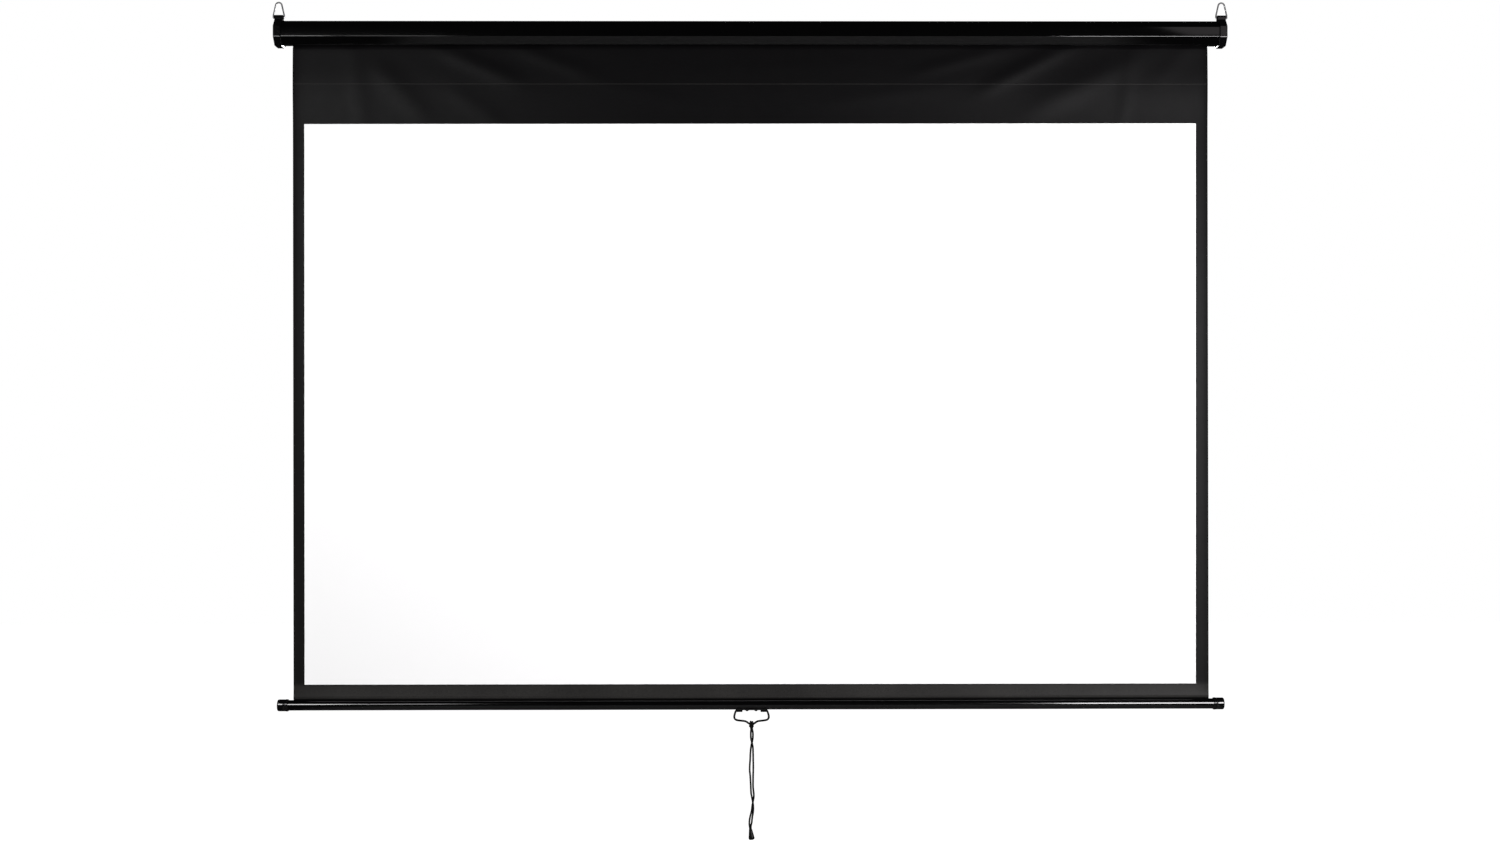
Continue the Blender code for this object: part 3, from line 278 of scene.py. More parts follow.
def smooth_route(points, step):
    """Points an equal step apart along one smooth curve through the given points.

    Each stretch is the cubic whose slope at a point is half the line between that
    point's two neighbours.
    """
    p = np.array(points, float)
    p = np.vstack((2 * p[0] - p[1], p, 2 * p[-1] - p[-2]))
    t = np.linspace(0.0, 1.0, 24, endpoint=False)[None, :, None]
    a, b, c, d = (p[i : len(p) - 3 + i][:, None, :] for i in range(4))
    curve = 2 * b + (c - a) * t + (2 * a - 5 * b + 4 * c - d) * t**2
    fine = ((curve + (3 * b - a - 3 * c + d) * t**3) / 2).reshape(-1, p.shape[1])
    fine = np.vstack((fine, p[-2:-1]))
    run = np.concatenate(([0.0], np.cumsum(np.linalg.norm(np.diff(fine, axis=0), axis=1))))
    wanted = np.linspace(0.0, run[-1], max(2, int(round(run[-1] / step)) + 1))
    return np.stack([np.interp(wanted, run, fine[:, i]) for i in range(p.shape[1])], axis=1)


def path_length(path):
    """The sum of a path's steps."""
    return float(np.linalg.norm(np.diff(path, axis=0), axis=1).sum())


# %% [markdown]
# ## Shared surface effects
#
# Real surfaces are never one even colour. Four effects come back on many finishes, so
# each is a node group: gloss that varies as hands and polishing leave it, a fine
# moulded grain, crossing threads, and a trace of settled dust, which on the cloth also
# carries painted sheen. A group gives out only values and colours, and each material
# puts in its own numbers.

# %% Node groups
FINER = 14.0
OVERLAP = 0.35
PATCH_SCALE = 7.0


def wired(tree, kind, inputs, **settings):
    """A new node's outputs, after its settings are made and its inputs are fed.

    An input is fed with a plain value or with another node's socket.
    """
    node = tree.nodes.new("ShaderNode" + kind)
    for label, value in settings.items():
        setattr(node, label, value)
    for label, value in inputs.items():
        if isinstance(value, bpy.types.NodeSocket):
            tree.links.new(value, node.inputs[label])
        else:
            node.inputs[label].default_value = value
    return node.outputs


def math_node(tree, operation, *values):
    """A Math node on numbers or other nodes' sockets."""
    return wired(tree, "Math", dict(enumerate(values)), operation=operation)[0]


def noise_node(tree, position, scale, detail, roughness=0.55):
    """A Noise texture's value at a position."""
    inputs = {"Vector": position, "Scale": scale, "Detail": detail, "Roughness": roughness}
    return wired(tree, "TexNoise", inputs)[0]


def blend(tree, share, low, high, kind="FLOAT"):
    """low + share * (high - low), for numbers, or for colours where kind is RGBA."""
    return wired(tree, "Mix", {"Factor": share, "A": low, "B": high}, data_type=kind)["Result"]


def ramp(tree, value, start, stop, low, high, **settings):
    """A value carried over from start...stop to low...high, and held at both ends."""
    inputs = {"Value": value, "From Min": start, "From Max": stop, "To Min": low, "To Max": high}
    return wired(tree, "MapRange", inputs, **settings)["Result"]


def group(name, inputs):
    """A new shader node group with a Position input and other named ones.

    An input's default tells its kind: one number, or a colour of four.
    """
    tree = bpy.data.node_groups.new(name, "ShaderNodeTree")
    tree.interface.new_socket("Position", in_out="INPUT", socket_type="NodeSocketVector")
    for label, value in inputs.items():
        kind = "NodeSocketFloat" if isinstance(value, float) else "NodeSocketColor"
        tree.interface.new_socket(label, in_out="INPUT", socket_type=kind).default_value = value
    return tree, tree.nodes.new("NodeGroupInput").outputs


def give_out(tree, label, value, kind="NodeSocketFloat"):
    """Close a group with its one named output."""
    tree.interface.new_socket(label, in_out="OUTPUT", socket_type=kind)
    tree.links.new(value, tree.nodes.new("NodeGroupOutput").inputs[label])
    return tree


def make_uneven_gloss():
    """Roughness = base + spread * (two sizes of noise, from -1 to 1)."""
    tree, given = group("uneven_gloss", {"Base": 0.4, "Spread": 0.05, "Scale": 9.0})
    broad = noise_node(tree, given["Position"], given["Scale"], 2.0)
    finer_scale = math_node(tree, "MULTIPLY", given["Scale"], FINER)
    fine = noise_node(tree, given["Position"], finer_scale, 3.0)
    signed = math_node(tree, "SUBTRACT", math_node(tree, "ADD", broad, fine), 1.0)
    share = math_node(tree, "MULTIPLY", signed, given["Spread"])
    return give_out(tree, "Roughness", math_node(tree, "ADD", share, given["Base"]))


def make_fine_grain():
    """Height = a cell pattern's distance * noise, as spark-eroded moulds leave."""
    tree, given = group("fine_grain", {"Scale": 1800.0})
    place = {"Vector": given["Position"], "Scale": given["Scale"]}
    cells = wired(tree, "TexVoronoi", place)["Distance"]
    noise = noise_node(tree, given["Position"], given["Scale"], 2.0)
    return give_out(tree, "Height", math_node(tree, "MULTIPLY", cells, noise))


def make_crossing_threads():
    """Height = the higher of two rows of rounded threads, along X and along Z.

    Scale is the number of threads per metre. Each thread is the absolute sine of its
    place across, and the product of both sines decides which row lies on top.
    """
    tree, given = group("crossing_threads", {"Scale": 1500.0})
    parts = wired(tree, "SeparateXYZ", {0: given["Position"]})
    turns = math_node(tree, "MULTIPLY", given["Scale"], math.pi)
    places = [math_node(tree, "MULTIPLY", parts[way], turns) for way in ("X", "Z")]
    waves = [math_node(tree, "SINE", place) for place in places]
    higher = math_node(tree, "MAXIMUM", *[math_node(tree, "ABSOLUTE", wave) for wave in waves])
    lift = math_node(tree, "MULTIPLY", math_node(tree, "MULTIPLY", *waves), OVERLAP)
    return give_out(tree, "Height", math_node(tree, "ADD", higher, lift))


def make_dust_and_sheen():
    """Colour = own + amount * specks * (patches + a half) * (dust colour - own)."""
    # On the cloth the amount also carries painted sheen, which takes the same dust colour.
    colours = {"Colour": (0.02, 0.02, 0.02, 1.0), "Dust colour": (0.30, 0.29, 0.27, 1.0)}
    tree, given = group("dust_and_sheen", {**colours, "Amount": 0.03, "Scale": 420.0})
    specks = noise_node(tree, given["Position"], given["Scale"], 4.0, 0.7)
    patches = noise_node(tree, given["Position"], PATCH_SCALE, 2.0)
    dense = math_node(tree, "MULTIPLY", specks, math_node(tree, "ADD", patches, 0.5))
    share = math_node(tree, "MULTIPLY", dense, given["Amount"])
    dust_and_sheen_colour = blend(tree, share, given["Colour"], given["Dust colour"], "RGBA")
    return give_out(tree, "Colour", dust_and_sheen_colour, "NodeSocketColor")


uneven_gloss = make_uneven_gloss()
fine_grain = make_fine_grain()
crossing_threads = make_crossing_threads()
dust_and_sheen = make_dust_and_sheen()
print("node groups:", [tree.name for tree in bpy.data.node_groups])


# %% [markdown]
# ## One recipe for every finish
#
# All finishes are one Principled shader with the shared effects placed in front of it.
# What tells them apart is how rough they are, how much that varies, how deep their
# grain is and whether they are metal. A finish is therefore one call with its numbers.
# Colours and gloss are chosen so that the lamps below give the tones of the photograph.

# %% Finishes
MICROMETRE = 0.000001
SHADE_SCALE = 23.0


def effect(tree, effect_group, position, **values):
    """One shared effect placed in a material, with its own numbers and links."""
    return wired(tree, "Group", {"Position": position, **values}, node_tree=effect_group)[0]


def finish(
    name, colour, roughness, bump, metallic=0.0, specular=0.5, gloss_spread=0.05, gloss_scale=9.0,
    dust=0.02, tint=0.12,
):
    """A named material. bump is (pattern group, its scale, depth in micrometres)."""
    mat = bpy.data.materials.new(name)
    mat.use_nodes = True
    tree = mat.node_tree
    shader = tree.nodes["Principled BSDF"].inputs
    shader["Metallic"].default_value = metallic
    shader["Specular IOR Level"].default_value = specular
    position = wired(tree, "TexCoord", {})["Object"]
    gloss = effect(tree, uneven_gloss, position, Base=roughness, Spread=gloss_spread, Scale=gloss_scale)
    darker = (*(c * (1 - tint) for c in colour), 1.0)
    lighter = (*(min(1.0, c * (1 + tint)) for c in colour), 1.0)
    shade = blend(tree, noise_node(tree, position, SHADE_SCALE, 3.0), darker, lighter, "RGBA")
    dust_and_sheen_colour = effect(tree, dust_and_sheen, position, Colour=shade, Amount=dust)
    pattern, density, depth = bump
    height = effect(tree, pattern, position, Scale=density)
    bumped = wired(tree, "Bump", {"Distance": depth * MICROMETRE, "Height": height})["Normal"]
    for label, value in (("Roughness", gloss), ("Base Color", dust_and_sheen_colour), ("Normal", bumped)):
        tree.links.new(value, shader[label])
    return mat


casing_paint = finish(
    "casing_gloss_paint", (0.0005, 0.0005, 0.00055), 0.075, (fine_grain, 420.0, 2.0),
    gloss_spread=0.02, gloss_scale=5.0, dust=0.0005,
)
cap_plastic = finish(
    "cap_moulded_plastic", (0.0013, 0.0013, 0.0015), 0.085, (fine_grain, 1700.0, 8.0), dust=0.001,
)
bar_paint = finish(
    "bar_satin_paint", (0.0006, 0.0006, 0.00065), 0.11, (fine_grain, 520.0, 3.0),
    gloss_spread=0.03, gloss_scale=6.0, dust=0.0005,
)
wire_coat = finish(
    "handle_wire_coat", (0.003, 0.003, 0.003), 0.36, (fine_grain, 900.0, 8.0),
    specular=0.12, dust=0.003,
)
ring_steel = finish(
    "ring_zinc_steel", (0.13, 0.13, 0.135), 0.44, (fine_grain, 1500.0, 10.0),
    metallic=1.0, gloss_spread=0.10, gloss_scale=60.0,
)
zinc_plate = finish(
    "zinc_plate", (0.55, 0.56, 0.58), 0.36, (fine_grain, 900.0, 10.0),
    metallic=1.0, gloss_spread=0.10, gloss_scale=40.0,
)
spring_steel = finish(
    "spring_steel", (0.30, 0.30, 0.31), 0.30, (fine_grain, 1400.0, 8.0), metallic=1.0, gloss_scale=50.0,
)
tube_steel = finish(
    "roller_tube_steel", (0.50, 0.51, 0.52), 0.42, (fine_grain, 260.0, 12.0),
    metallic=1.0, gloss_spread=0.12, gloss_scale=25.0,
)
nylon = finish("natural_nylon", (0.74, 0.74, 0.70), 0.42, (fine_grain, 1300.0, 12.0), tint=0.04)
screw_black = finish(
    "blackened_screw", (0.030, 0.030, 0.031), 0.30, (fine_grain, 1600.0, 10.0),
    metallic=0.8, gloss_scale=80.0,
)
cord_black = finish(
    "braided_cord", (0.003, 0.003, 0.003), 0.65, (fine_grain, 3800.0, 60.0),
    specular=0.04, dust=0.004, tint=0.25,
)
bell_plastic = finish(
    "bell_gloss_plastic", (0.002, 0.002, 0.002), 0.30, (fine_grain, 900.0, 6.0),
    specular=0.12, dust=0.002,
)
cloth_black = finish(
    "black_backing_cloth", (0.0013, 0.0012, 0.0014), 0.42, (crossing_threads, 1900.0, 12.0),
    specular=0.050, gloss_spread=0.06, gloss_scale=3.0, dust=0.001,
)
picture_white = finish(
    "matt_picture_surface", (0.69, 0.69, 0.69), 0.80, (fine_grain, 2400.0, 10.0),
    specular=0.25, gloss_scale=2.0, dust=0.0, tint=0.006,
)
thread_black = finish(
    "stitching_thread", (0.012, 0.012, 0.012), 0.55, (fine_grain, 5200.0, 30.0),
    specular=0.30, dust=0.0,
)
print("materials:", len(bpy.data.materials))

# %% [markdown]
# The black cloth is painted lighter in three bands, through its dust amount: painted
# sheen low on the side borders and at the foot, and a painted highlight along the
# crease. Each is a band between two heights where it sets in and two where it ends,
# with an amount of the dust colour.

# %% Painted sheen on the cloth
# Painted sheen on the lower side borders, a painted highlight along the crease, painted sheen at the foot.
PAINTED_SHEEN_BANDS = (
    ((-0.45, -1.35), (-1.50, -1.60), 0.024),
    ((-0.1098, -0.1102), (-0.1112, -0.1116), 0.060),
    ((-1.450, -1.460), (-1.4848, -1.4872), 0.060),
)


def painted_sheen_band(mat, rise, fall, amount):
    """Add amount * (share between the rise heights) * (share between the fall ones)."""
    tree = mat.node_tree
    groups = (node for node in tree.nodes if node.type == "GROUP")
    dust = next(node for node in groups if node.node_tree is dust_and_sheen).inputs
    height = wired(tree, "SeparateXYZ", {0: dust["Position"].links[0].from_socket})["Z"]
    begun = ramp(tree, height, *rise, 0.0, 1.0)
    left = ramp(tree, height, *fall, 1.0, 0.0)
    extra = math_node(tree, "MULTIPLY", math_node(tree, "MULTIPLY", begun, left), amount)
    # The band's amount is added to the dust amount, so the painted sheen takes the dust colour.
    links = dust["Amount"].links
    before = links[0].from_socket if links else dust["Amount"].default_value
    tree.links.new(math_node(tree, "ADD", extra, before), dust["Amount"])


for rise, fall, amount in PAINTED_SHEEN_BANDS:
    painted_sheen_band(cloth_black, rise, fall, amount)
print("dust bands on the cloth:", len(PAINTED_SHEEN_BANDS))


# %% [markdown]
# ## The pull cord
#
# A thin braided cord is looped over the handle's dip and knotted, and its two strands
# hang side by side, cross twice, and end together in the bell. The photograph shows
# the cord from end to end, so its length is what the photograph shows. Each strand is
# a tube along a smooth curve through a few chosen points, given as steps (right, up)
# from the dip, and the plait is real relief: two sets of threads wind round the tube
# in opposite ways, and the higher one shows.

# %% Cord strands
CORD_RADIUS = 0.0021
STRAND_SPREAD = 0.0021
STRAND_STEP = 0.0004
STRAND_SIDES = 16
PLAIT_RELIEF = 0.00016
PLAIT_PITCH = 0.0052
PLAIT_THREADS = 4
PLAIT_LEVEL = 0.8
BELL_TOP = (-0.0026, -0.2345)
BELL_TILT = math.radians(7.0)
CORD_LEAD = 0.0035
CORD_SINK = 0.0010
FRONT_STRAND = (
    (-0.0010, -0.0040), (-0.0011, -0.0095), (-0.0016, -0.0157), (-0.0018, -0.0225), (-0.0016, -0.0291),
    (-0.0003, -0.0365), (0.0016, -0.0430), (0.0030, -0.0516), (0.0034, -0.0650),
    (0.0036, -0.0785), (0.0038, -0.0919), (0.0037, -0.1030), (0.0034, -0.1120),
    (0.0033, -0.1255), (0.0033, -0.1390), (0.0046, -0.1524), (0.0050, -0.1592),
    (0.0041, -0.1670), (0.0025, -0.1745), (0.0013, -0.1815), (0.0003, -0.1900),
    (-0.0013, -0.1980), (-0.0034, -0.2062), (-0.0047, -0.2130), (-0.0052, -0.2200),
    (-0.0048, -0.2262),
)
REAR_STRAND = (
    (0.0010, -0.0040), (0.0014, -0.0095), (0.0026, -0.0157), (0.0032, -0.0225), (0.0030, -0.0291),
    (0.0020, -0.0365), (0.0001, -0.0430), (-0.0014, -0.0516), (-0.0027, -0.0650),
    (-0.0032, -0.0785), (-0.0041, -0.0919), (-0.0043, -0.1030), (-0.0034, -0.1120),
    (-0.0025, -0.1255), (-0.0019, -0.1390), (-0.0013, -0.1524), (-0.0003, -0.1592),
    (0.0013, -0.1670), (0.0028, -0.1745), (0.0036, -0.1815), (0.0039, -0.1900),
    (0.0032, -0.1980), (0.0018, -0.2062), (0.0009, -0.2130), (0.0002, -0.2200),
    (-0.0012, -0.2262),
)

joint_places = {joint["name"]: np.array(joint.get("pos_m", (0, 0, 0))) for joint in frame["joints"]}
dip = joint_places["cord_swing"]
handle_axis = joint_places["handle_swing"]
bell_down = np.array((math.sin(BELL_TILT), 0.0, -math.cos(BELL_TILT)))
bell_side = np.array((math.cos(BELL_TILT), 0.0, math.sin(BELL_TILT)))
bell_top = dip + (BELL_TOP[0], 0.0, BELL_TOP[1])


def strand_route(steps, shift):
    """The strand's own points from the knot, then straight onto the bell's top."""
    points = [dip + (x, shift, z) for x, z in steps]
    aside = math.copysign(STRAND_SPREAD / 2, shift)
    end = bell_top + (0.0, shift, 0.0) + bell_down * CORD_SINK + bell_side * aside
    points += [end - bell_down * CORD_LEAD, end]
    return smooth_route(points, STRAND_STEP)


def plait(path, sides):
    """Relief = height * (the higher of |sin| of two opposite windings - level).

    A winding's phase is threads * angle / 2 plus or minus a turn for each pitch.
    """
    run = np.arange(len(path)) * path_length(path) / (len(path) - 1)
    angle = PLAIT_THREADS / 2 * (np.arange(sides) / sides * math.tau)[None, :]
    wind = run[:, None] / PLAIT_PITCH * math.tau
    higher = np.maximum(np.abs(np.sin(angle + wind)), np.abs(np.sin(angle - wind)))
    return PLAIT_RELIEF * (higher - PLAIT_LEVEL)


def strand(name, steps, shift, node):
    """One strand of the cord as a plaited tube that stands for its solid."""
    path = strand_route(steps, shift)
    tube = closed_tube(swept(path, CORD_RADIUS, STRAND_SIDES, relief=plait(path, STRAND_SIDES)))
    obj = piece(name, [tube], 80.0)
    dress(obj, "pull_cord", cord_black, "black_cord", node)
    return obj, path


front_strand, front_path = strand("front_strand", FRONT_STRAND, -STRAND_SPREAD, "cord_front_strand")
rear_strand, rear_path = strand("rear_strand", REAR_STRAND, STRAND_SPREAD, "cord_rear_strand")
print("strand lengths:", round(path_length(front_path), 4), round(path_length(rear_path), 4))


# %% [markdown]
# ## The knot
#
# The cord's bight passes over the wire's dip, and its two ends are knotted close under
# it. In the photograph the knot is only a few dots wide, so its kind can't be told. It
# is made here as two lengths of the same cord: one passes twice over the wire, and one
# winds round the pair just below it. A small solid core fills what lies between them.

# %% Knot
KNOT_LOOP = (
    (-0.0011, -0.0021, -0.0085), (-0.0020, -0.0038, -0.0045), (-0.0024, -0.0045, 0.0018),
    (-0.0020, 0.0000, 0.0068), (-0.0018, 0.0045, 0.0018), (-0.0008, 0.0046, -0.0028),
    (0.0010, 0.0046, -0.0028), (0.0017, 0.0045, 0.0018), (0.0020, 0.0000, 0.0062),
    (0.0024, -0.0045, 0.0018), (0.0022, -0.0034, -0.0035), (0.0015, 0.0010, -0.0075),
)
KNOT_CORE = (
    (0.0060, 0.0010), (0.0035, 0.0026), (0.0, 0.0038), (-0.0045, 0.0032), (-0.0085, 0.0016),
)
KNOT_TURNS = 2.6
KNOT_WIND_RADIUS = 0.0041
KNOT_FLATNESS = 0.85
KNOT_WAIST = -0.0016
KNOT_SPREAD = 0.0056
KNOT_TOP = 0.0040
KNOT_FOOT = -0.0072
KNOT_SWAY = 0.0008
KNOT_SIDES = 14


def knot_wind():
    """A helix that falls evenly, whose radius is a bell curve of the height.

    radius = r * exp(-((z - waist) / spread)^2), a little more across than deep.
    """
    t = np.linspace(0.0, KNOT_TURNS, 120) * math.tau
    z = KNOT_TOP + (KNOT_FOOT - KNOT_TOP) * t / t[-1]
    radius = KNOT_WIND_RADIUS * np.exp(-(((z - KNOT_WAIST) / KNOT_SPREAD) ** 2))
    x = radius * np.cos(t)
    y = radius * KNOT_FLATNESS * np.sin(t)
    return smooth_route(dip + np.stack((x, y, z + KNOT_SWAY * np.cos(t)), axis=1), STRAND_STEP)


knot_parts = []
knot_loop = smooth_route(dip + np.array(KNOT_LOOP), STRAND_STEP)
for path, way in ((knot_loop, (1.0, 0.0, 0.0)), (knot_wind(), (0.0, 0.0, 1.0))):
    relief = plait(path, KNOT_SIDES)
    knot_parts.append(closed_tube(swept(path, CORD_RADIUS, KNOT_SIDES, way, relief)))
knot_parts.append(closed_tube(turned(KNOT_CORE, dip, (0, 0, 1), KNOT_SIDES)))
cord_knot = piece("cord_knot_tied", knot_parts, 80.0)
dress(cord_knot, "pull_cord", cord_black, "black_cord", "cord_knot")


# %% [markdown]
# ## The bell
#
# The cord's end runs into a small moulded bell that gives the fingers something to
# pull. It is a turned shape: a neck with one fine groove, and sides that widen to a
# rounded foot. Its profile is given as shares of the bell's length and radius.

# %% Bell
BELL_LENGTH = 0.0236
BELL_RADIUS = 0.0068
BELL_SIDES = 48
BELL_PROFILE = (
    (0.0, 0.44), (0.0, 0.52), (0.02, 0.555), (0.08, 0.59), (0.10, 0.565), (0.12, 0.60),
    (0.20, 0.64), (0.30, 0.70), (0.42, 0.77), (0.54, 0.84), (0.66, 0.91), (0.76, 0.965),
    (0.84, 1.0), (0.90, 0.99), (0.945, 0.92), (0.975, 0.80), (0.993, 0.62), (1.0, 0.40),
)
bell_profile = np.array(BELL_PROFILE) * (BELL_LENGTH, BELL_RADIUS)
bell = piece("pull_bell", [closed_tube(turned(bell_profile, bell_top, bell_down, BELL_SIDES))], 50.0)
dress(bell, "pull_cord", bell_plastic, "bell_plastic", "cord_bell")


# %% [markdown]
# ## The wire handle
#
# The handle is one steel wire, bent to a shallow stirrup with a dip in its middle that
# keeps the cord centred. Its two stubs turn in sleeves under the bar. A circle carried
# along half a route and its mirror image gives it, and the bends stay soft because the
# route is one smooth curve.

# %% Handle wire
BAIL_WIRE_RADIUS = 0.0023
BAIL_STUB = 0.0090
BAIL_STEP = 0.0008
BRACKET_HALF = 0.0333
BAIL_ROUTE = (
    (0.0006, 0.0), (0.0021, -0.0016), (0.0034, -0.0048), (0.0047, -0.0092),
    (0.0054, -0.0140), (0.0042, -0.0182), (0.0004, -0.0210), (-0.0060, -0.0222),
    (-0.0150, -0.0232), (-0.0206, -0.0244), (-0.0272, -0.0286),
)
right_half = np.array([(-BAIL_STUB, 0.0), (-BAIL_STUB / 2, 0.0), *BAIL_ROUTE])
right_half[:, 0] += BRACKET_HALF
left_half = right_half * (-1.0, 1.0)
dip_step = np.array([(0.0, dip[2] - handle_axis[2])])
bail_flat = np.vstack((left_half, dip_step, right_half[::-1]))
bail_y = np.full(len(bail_flat), handle_axis[1])
bail_points = np.column_stack((bail_flat[:, 0], bail_y, handle_axis[2] + bail_flat[:, 1]))
bail_path = smooth_route(bail_points, BAIL_STEP)
bail = piece("handle_wire", [closed_tube(swept(bail_path, BAIL_WIRE_RADIUS, 20))], 60.0)
dress(bail, "bail", wire_coat, "handle_wire", "handle_bail")


# %% [markdown]
# ## The handle's bracket
#
# A stamped strip follows the bar's underside, and both its ends are rolled into
# sleeves round the wire. Saddle and sleeves are paths that get a wall: an arc round the
# bar over the whole width, and nearly a full turn round the wire at both ends, so that
# the rolled edges show from the side as they do on the real one.

# %% Bracket
BAR_RADIUS = 0.0116
BRACKET_PLATE = 0.0012
SADDLE_PLAY = 0.0003
SADDLE_SPREAD = math.radians(52.0)
SADDLE_STATIONS = (-1.0, -0.985, 0.985, 1.0)
SLEEVE_LENGTH = 0.0130
SLEEVE_PLAY = 0.00015
SLEEVE_WALL = 0.0008
SLEEVE_START = math.radians(-32)
SLEEVE_STOP = math.radians(322)
WORN_EDGE = 0.00018
WORN_ANGLE = math.radians(50)
bar_low, bar_high = corners("bottom_bar")
bar_centre = np.array((0.0, cloth_y, bar_low[2] + BAR_RADIUS))
saddle_radius = BAR_RADIUS + SADDLE_PLAY


def band(path, thickness):
    """A path of (y, z) points and its copy, thickness away to its left, as one ring."""
    along = unit(np.gradient(path, axis=0))
    left = np.stack((-along[:, 1], along[:, 0]), axis=1)
    return np.vstack((path, (path + left * thickness)[::-1]))


def carried(section, stations):
    """A (y, z) section repeated at each x station, as a grid of rings."""
    stations = np.array(stations, float)
    rings = np.empty((len(stations), len(section), 3))
    rings[..., 0] = stations[:, None]
    rings[..., 1:] = section[None]
    return rings


def arc(centre, radius, start, stop, steps):
    """Points on a circle in (y, z); an angle of 0 points up and grows towards +Y."""
    t = np.linspace(start, stop, steps)
    return np.stack((centre[0] + radius * np.sin(t), centre[1] + radius * np.cos(t)), axis=1)


def strip_solid(section_path, thickness, stations):
    """A strip of sheet metal: its band carried along X, with both cut ends closed."""
    section = band(section_path, thickness)
    grid = carried(section, stations)
    count, half = len(section), len(section_path)
    points, faces = patch(grid, wrap_columns=True)
    low = np.arange(half - 1)
    end = (len(stations) - 1) * count
    cut = np.stack((low, low + 1, count - 2 - low, count - 1 - low), axis=1)
    faces += cut[:, ::-1].tolist() + (cut + end).tolist()
    return points, faces


saddle_start, saddle_stop = math.pi + SADDLE_SPREAD, math.pi - SADDLE_SPREAD
saddle_path = arc(bar_centre[1:], saddle_radius + BRACKET_PLATE, saddle_start, saddle_stop, 25)
bracket_stations = np.array(SADDLE_STATIONS) * BRACKET_HALF
bracket_parts = [strip_solid(saddle_path, BRACKET_PLATE, bracket_stations)]
sleeve_radius = BAIL_WIRE_RADIUS + SLEEVE_PLAY + SLEEVE_WALL
sleeve_path = arc(handle_axis[1:], sleeve_radius, SLEEVE_START, SLEEVE_STOP, 33)
for side in (-1, 1):
    stations = side * np.array((BRACKET_HALF, BRACKET_HALF - SLEEVE_LENGTH))
    bracket_parts.append(strip_solid(sleeve_path, -SLEEVE_WALL, np.sort(stations)))
bracket = piece("handle_saddle", bracket_parts, 40.0)
bevel = bracket.modifiers.new("worn_edges", "BEVEL")
bevel.width = WORN_EDGE
bevel.segments = 2
bevel.limit_method = "ANGLE"
bevel.angle_limit = WORN_ANGLE
dress(bracket, "bar", casing_paint, "casing_paint", "handle_bracket")

# %% [markdown]
# The screws' heads are one surface given as a height over a disc: a dome, less a
# crossed recess. All measures of the cross are shares of the head's radius.

# %% Screws
DOME_FALL = 0.62
DOME_POWER = 2.4
CROSS_HALF_WIDTH, CROSS_WALL = 0.13, 0.07
CROSS_REACH, CROSS_END = 0.58, 0.16
PAN_RADIUS, PAN_HEIGHT, PAN_RECESS = 0.0034, 0.0023, 0.0009


def screw_head(origin, axis, radius, height, recess, sides=64, rings=22):
    """A domed head with a crossed recess, as a height over (distance, angle).

    The dome is height * (1 - fall * share^power), on a short cylinder. The recess takes
    depth away where the point lies within a narrow cross, and its walls lean.
    """
    axis = unit(np.array(axis, float))
    u = unit(np.cross(axis, (0.2, 0.3, 0.9)))
    v = np.cross(axis, u)
    share = np.concatenate((np.linspace(1.0, 0.05, rings), [0.0]))
    t = np.arange(sides) / sides * math.tau
    r, angle = np.meshgrid(share * radius, t, indexing="ij")
    x, y = r * np.cos(angle), r * np.sin(angle)
    dome = height * (1 - DOME_FALL * (r / radius) ** DOME_POWER)
    arm = np.minimum(np.abs(x), np.abs(y))
    reach = np.maximum(np.abs(x), np.abs(y))
    wall = np.clip((radius * CROSS_HALF_WIDTH - arm) / (radius * CROSS_WALL), 0.0, 1.0)
    end = np.clip((radius * CROSS_REACH - reach) / (radius * CROSS_END), 0.0, 1.0)
    lift = dome - recess * wall * end
    top = np.array(origin) + x[..., None] * u + y[..., None] * v + lift[..., None] * axis
    foot = top[:1] - (lift[:1, :, None]) * axis
    return closed_tube(np.concatenate((foot, top)))


plate_under = bar_centre[2] - saddle_radius - BRACKET_PLATE
for tag in ("left", "right"):
    low, high = corners("handle_screw_" + tag)
    spot = ((low[0] + high[0]) / 2, bar_centre[1], plate_under)
    shape = screw_head(spot, (0, 0, -1), PAN_RADIUS, PAN_HEIGHT, PAN_RECESS)
    head = piece("pan_screw_" + tag, [shape], 30.0)
    dress(head, "bar", screw_black, "screw_black", "handle_screw_" + tag)


# %% [markdown]
# ## The bottom bar
#
# A painted tube with a slot along its top, whose weight keeps the cloth flat. It is a
# band of sheet metal bent almost into a full circle, so its cross-section is one arc
# that stops at the slot's two edges, carried from cap to cap. Bought tube is never
# quite straight, and a bend of a few hundredths of a millimetre is enough to make its
# long highlight look real.

# %% Bar tube
BAR_WALL = 0.0010
BAR_SLOT = 0.0026
BAR_STATIONS = 121
BAR_SWAY = 0.00006
BAR_WAVES = ((7.1, 0.6), (17.3, 0.0), (9.7, 1.9))
FINE_SHARE = 0.6
SIDE_SHARE = 0.7
slot_start = math.asin(BAR_SLOT / 2 / BAR_RADIUS)
bar_arc = arc(bar_centre[1:], BAR_RADIUS, slot_start, math.tau - slot_start, 97)
bar_stations = np.linspace(bar_low[0], bar_high[0], BAR_STATIONS)
bar_points, bar_faces = strip_solid(bar_arc, -BAR_WALL, bar_stations)
broad, fine, aside = (np.sin(bar_points[:, 0] * turns + shift) for turns, shift in BAR_WAVES)
bar_points[:, 2] += BAR_SWAY * (broad + FINE_SHARE * fine)
bar_points[:, 1] += SIDE_SHARE * BAR_SWAY * aside
bar = piece("bar_tube", [(bar_points, bar_faces)], 50.0)
dress(bar, "bar", bar_paint, "bar_paint", "bottom_bar")


# %% [markdown]
# ## The bar's end caps
#
# Each end of the bar carries a round moulded cap with a raised collar at its mouth, a
# fine groove beside it and a softly rounded end. The profile is walked from the mouth's
# inner edge out over the collar and down to the middle of the end.

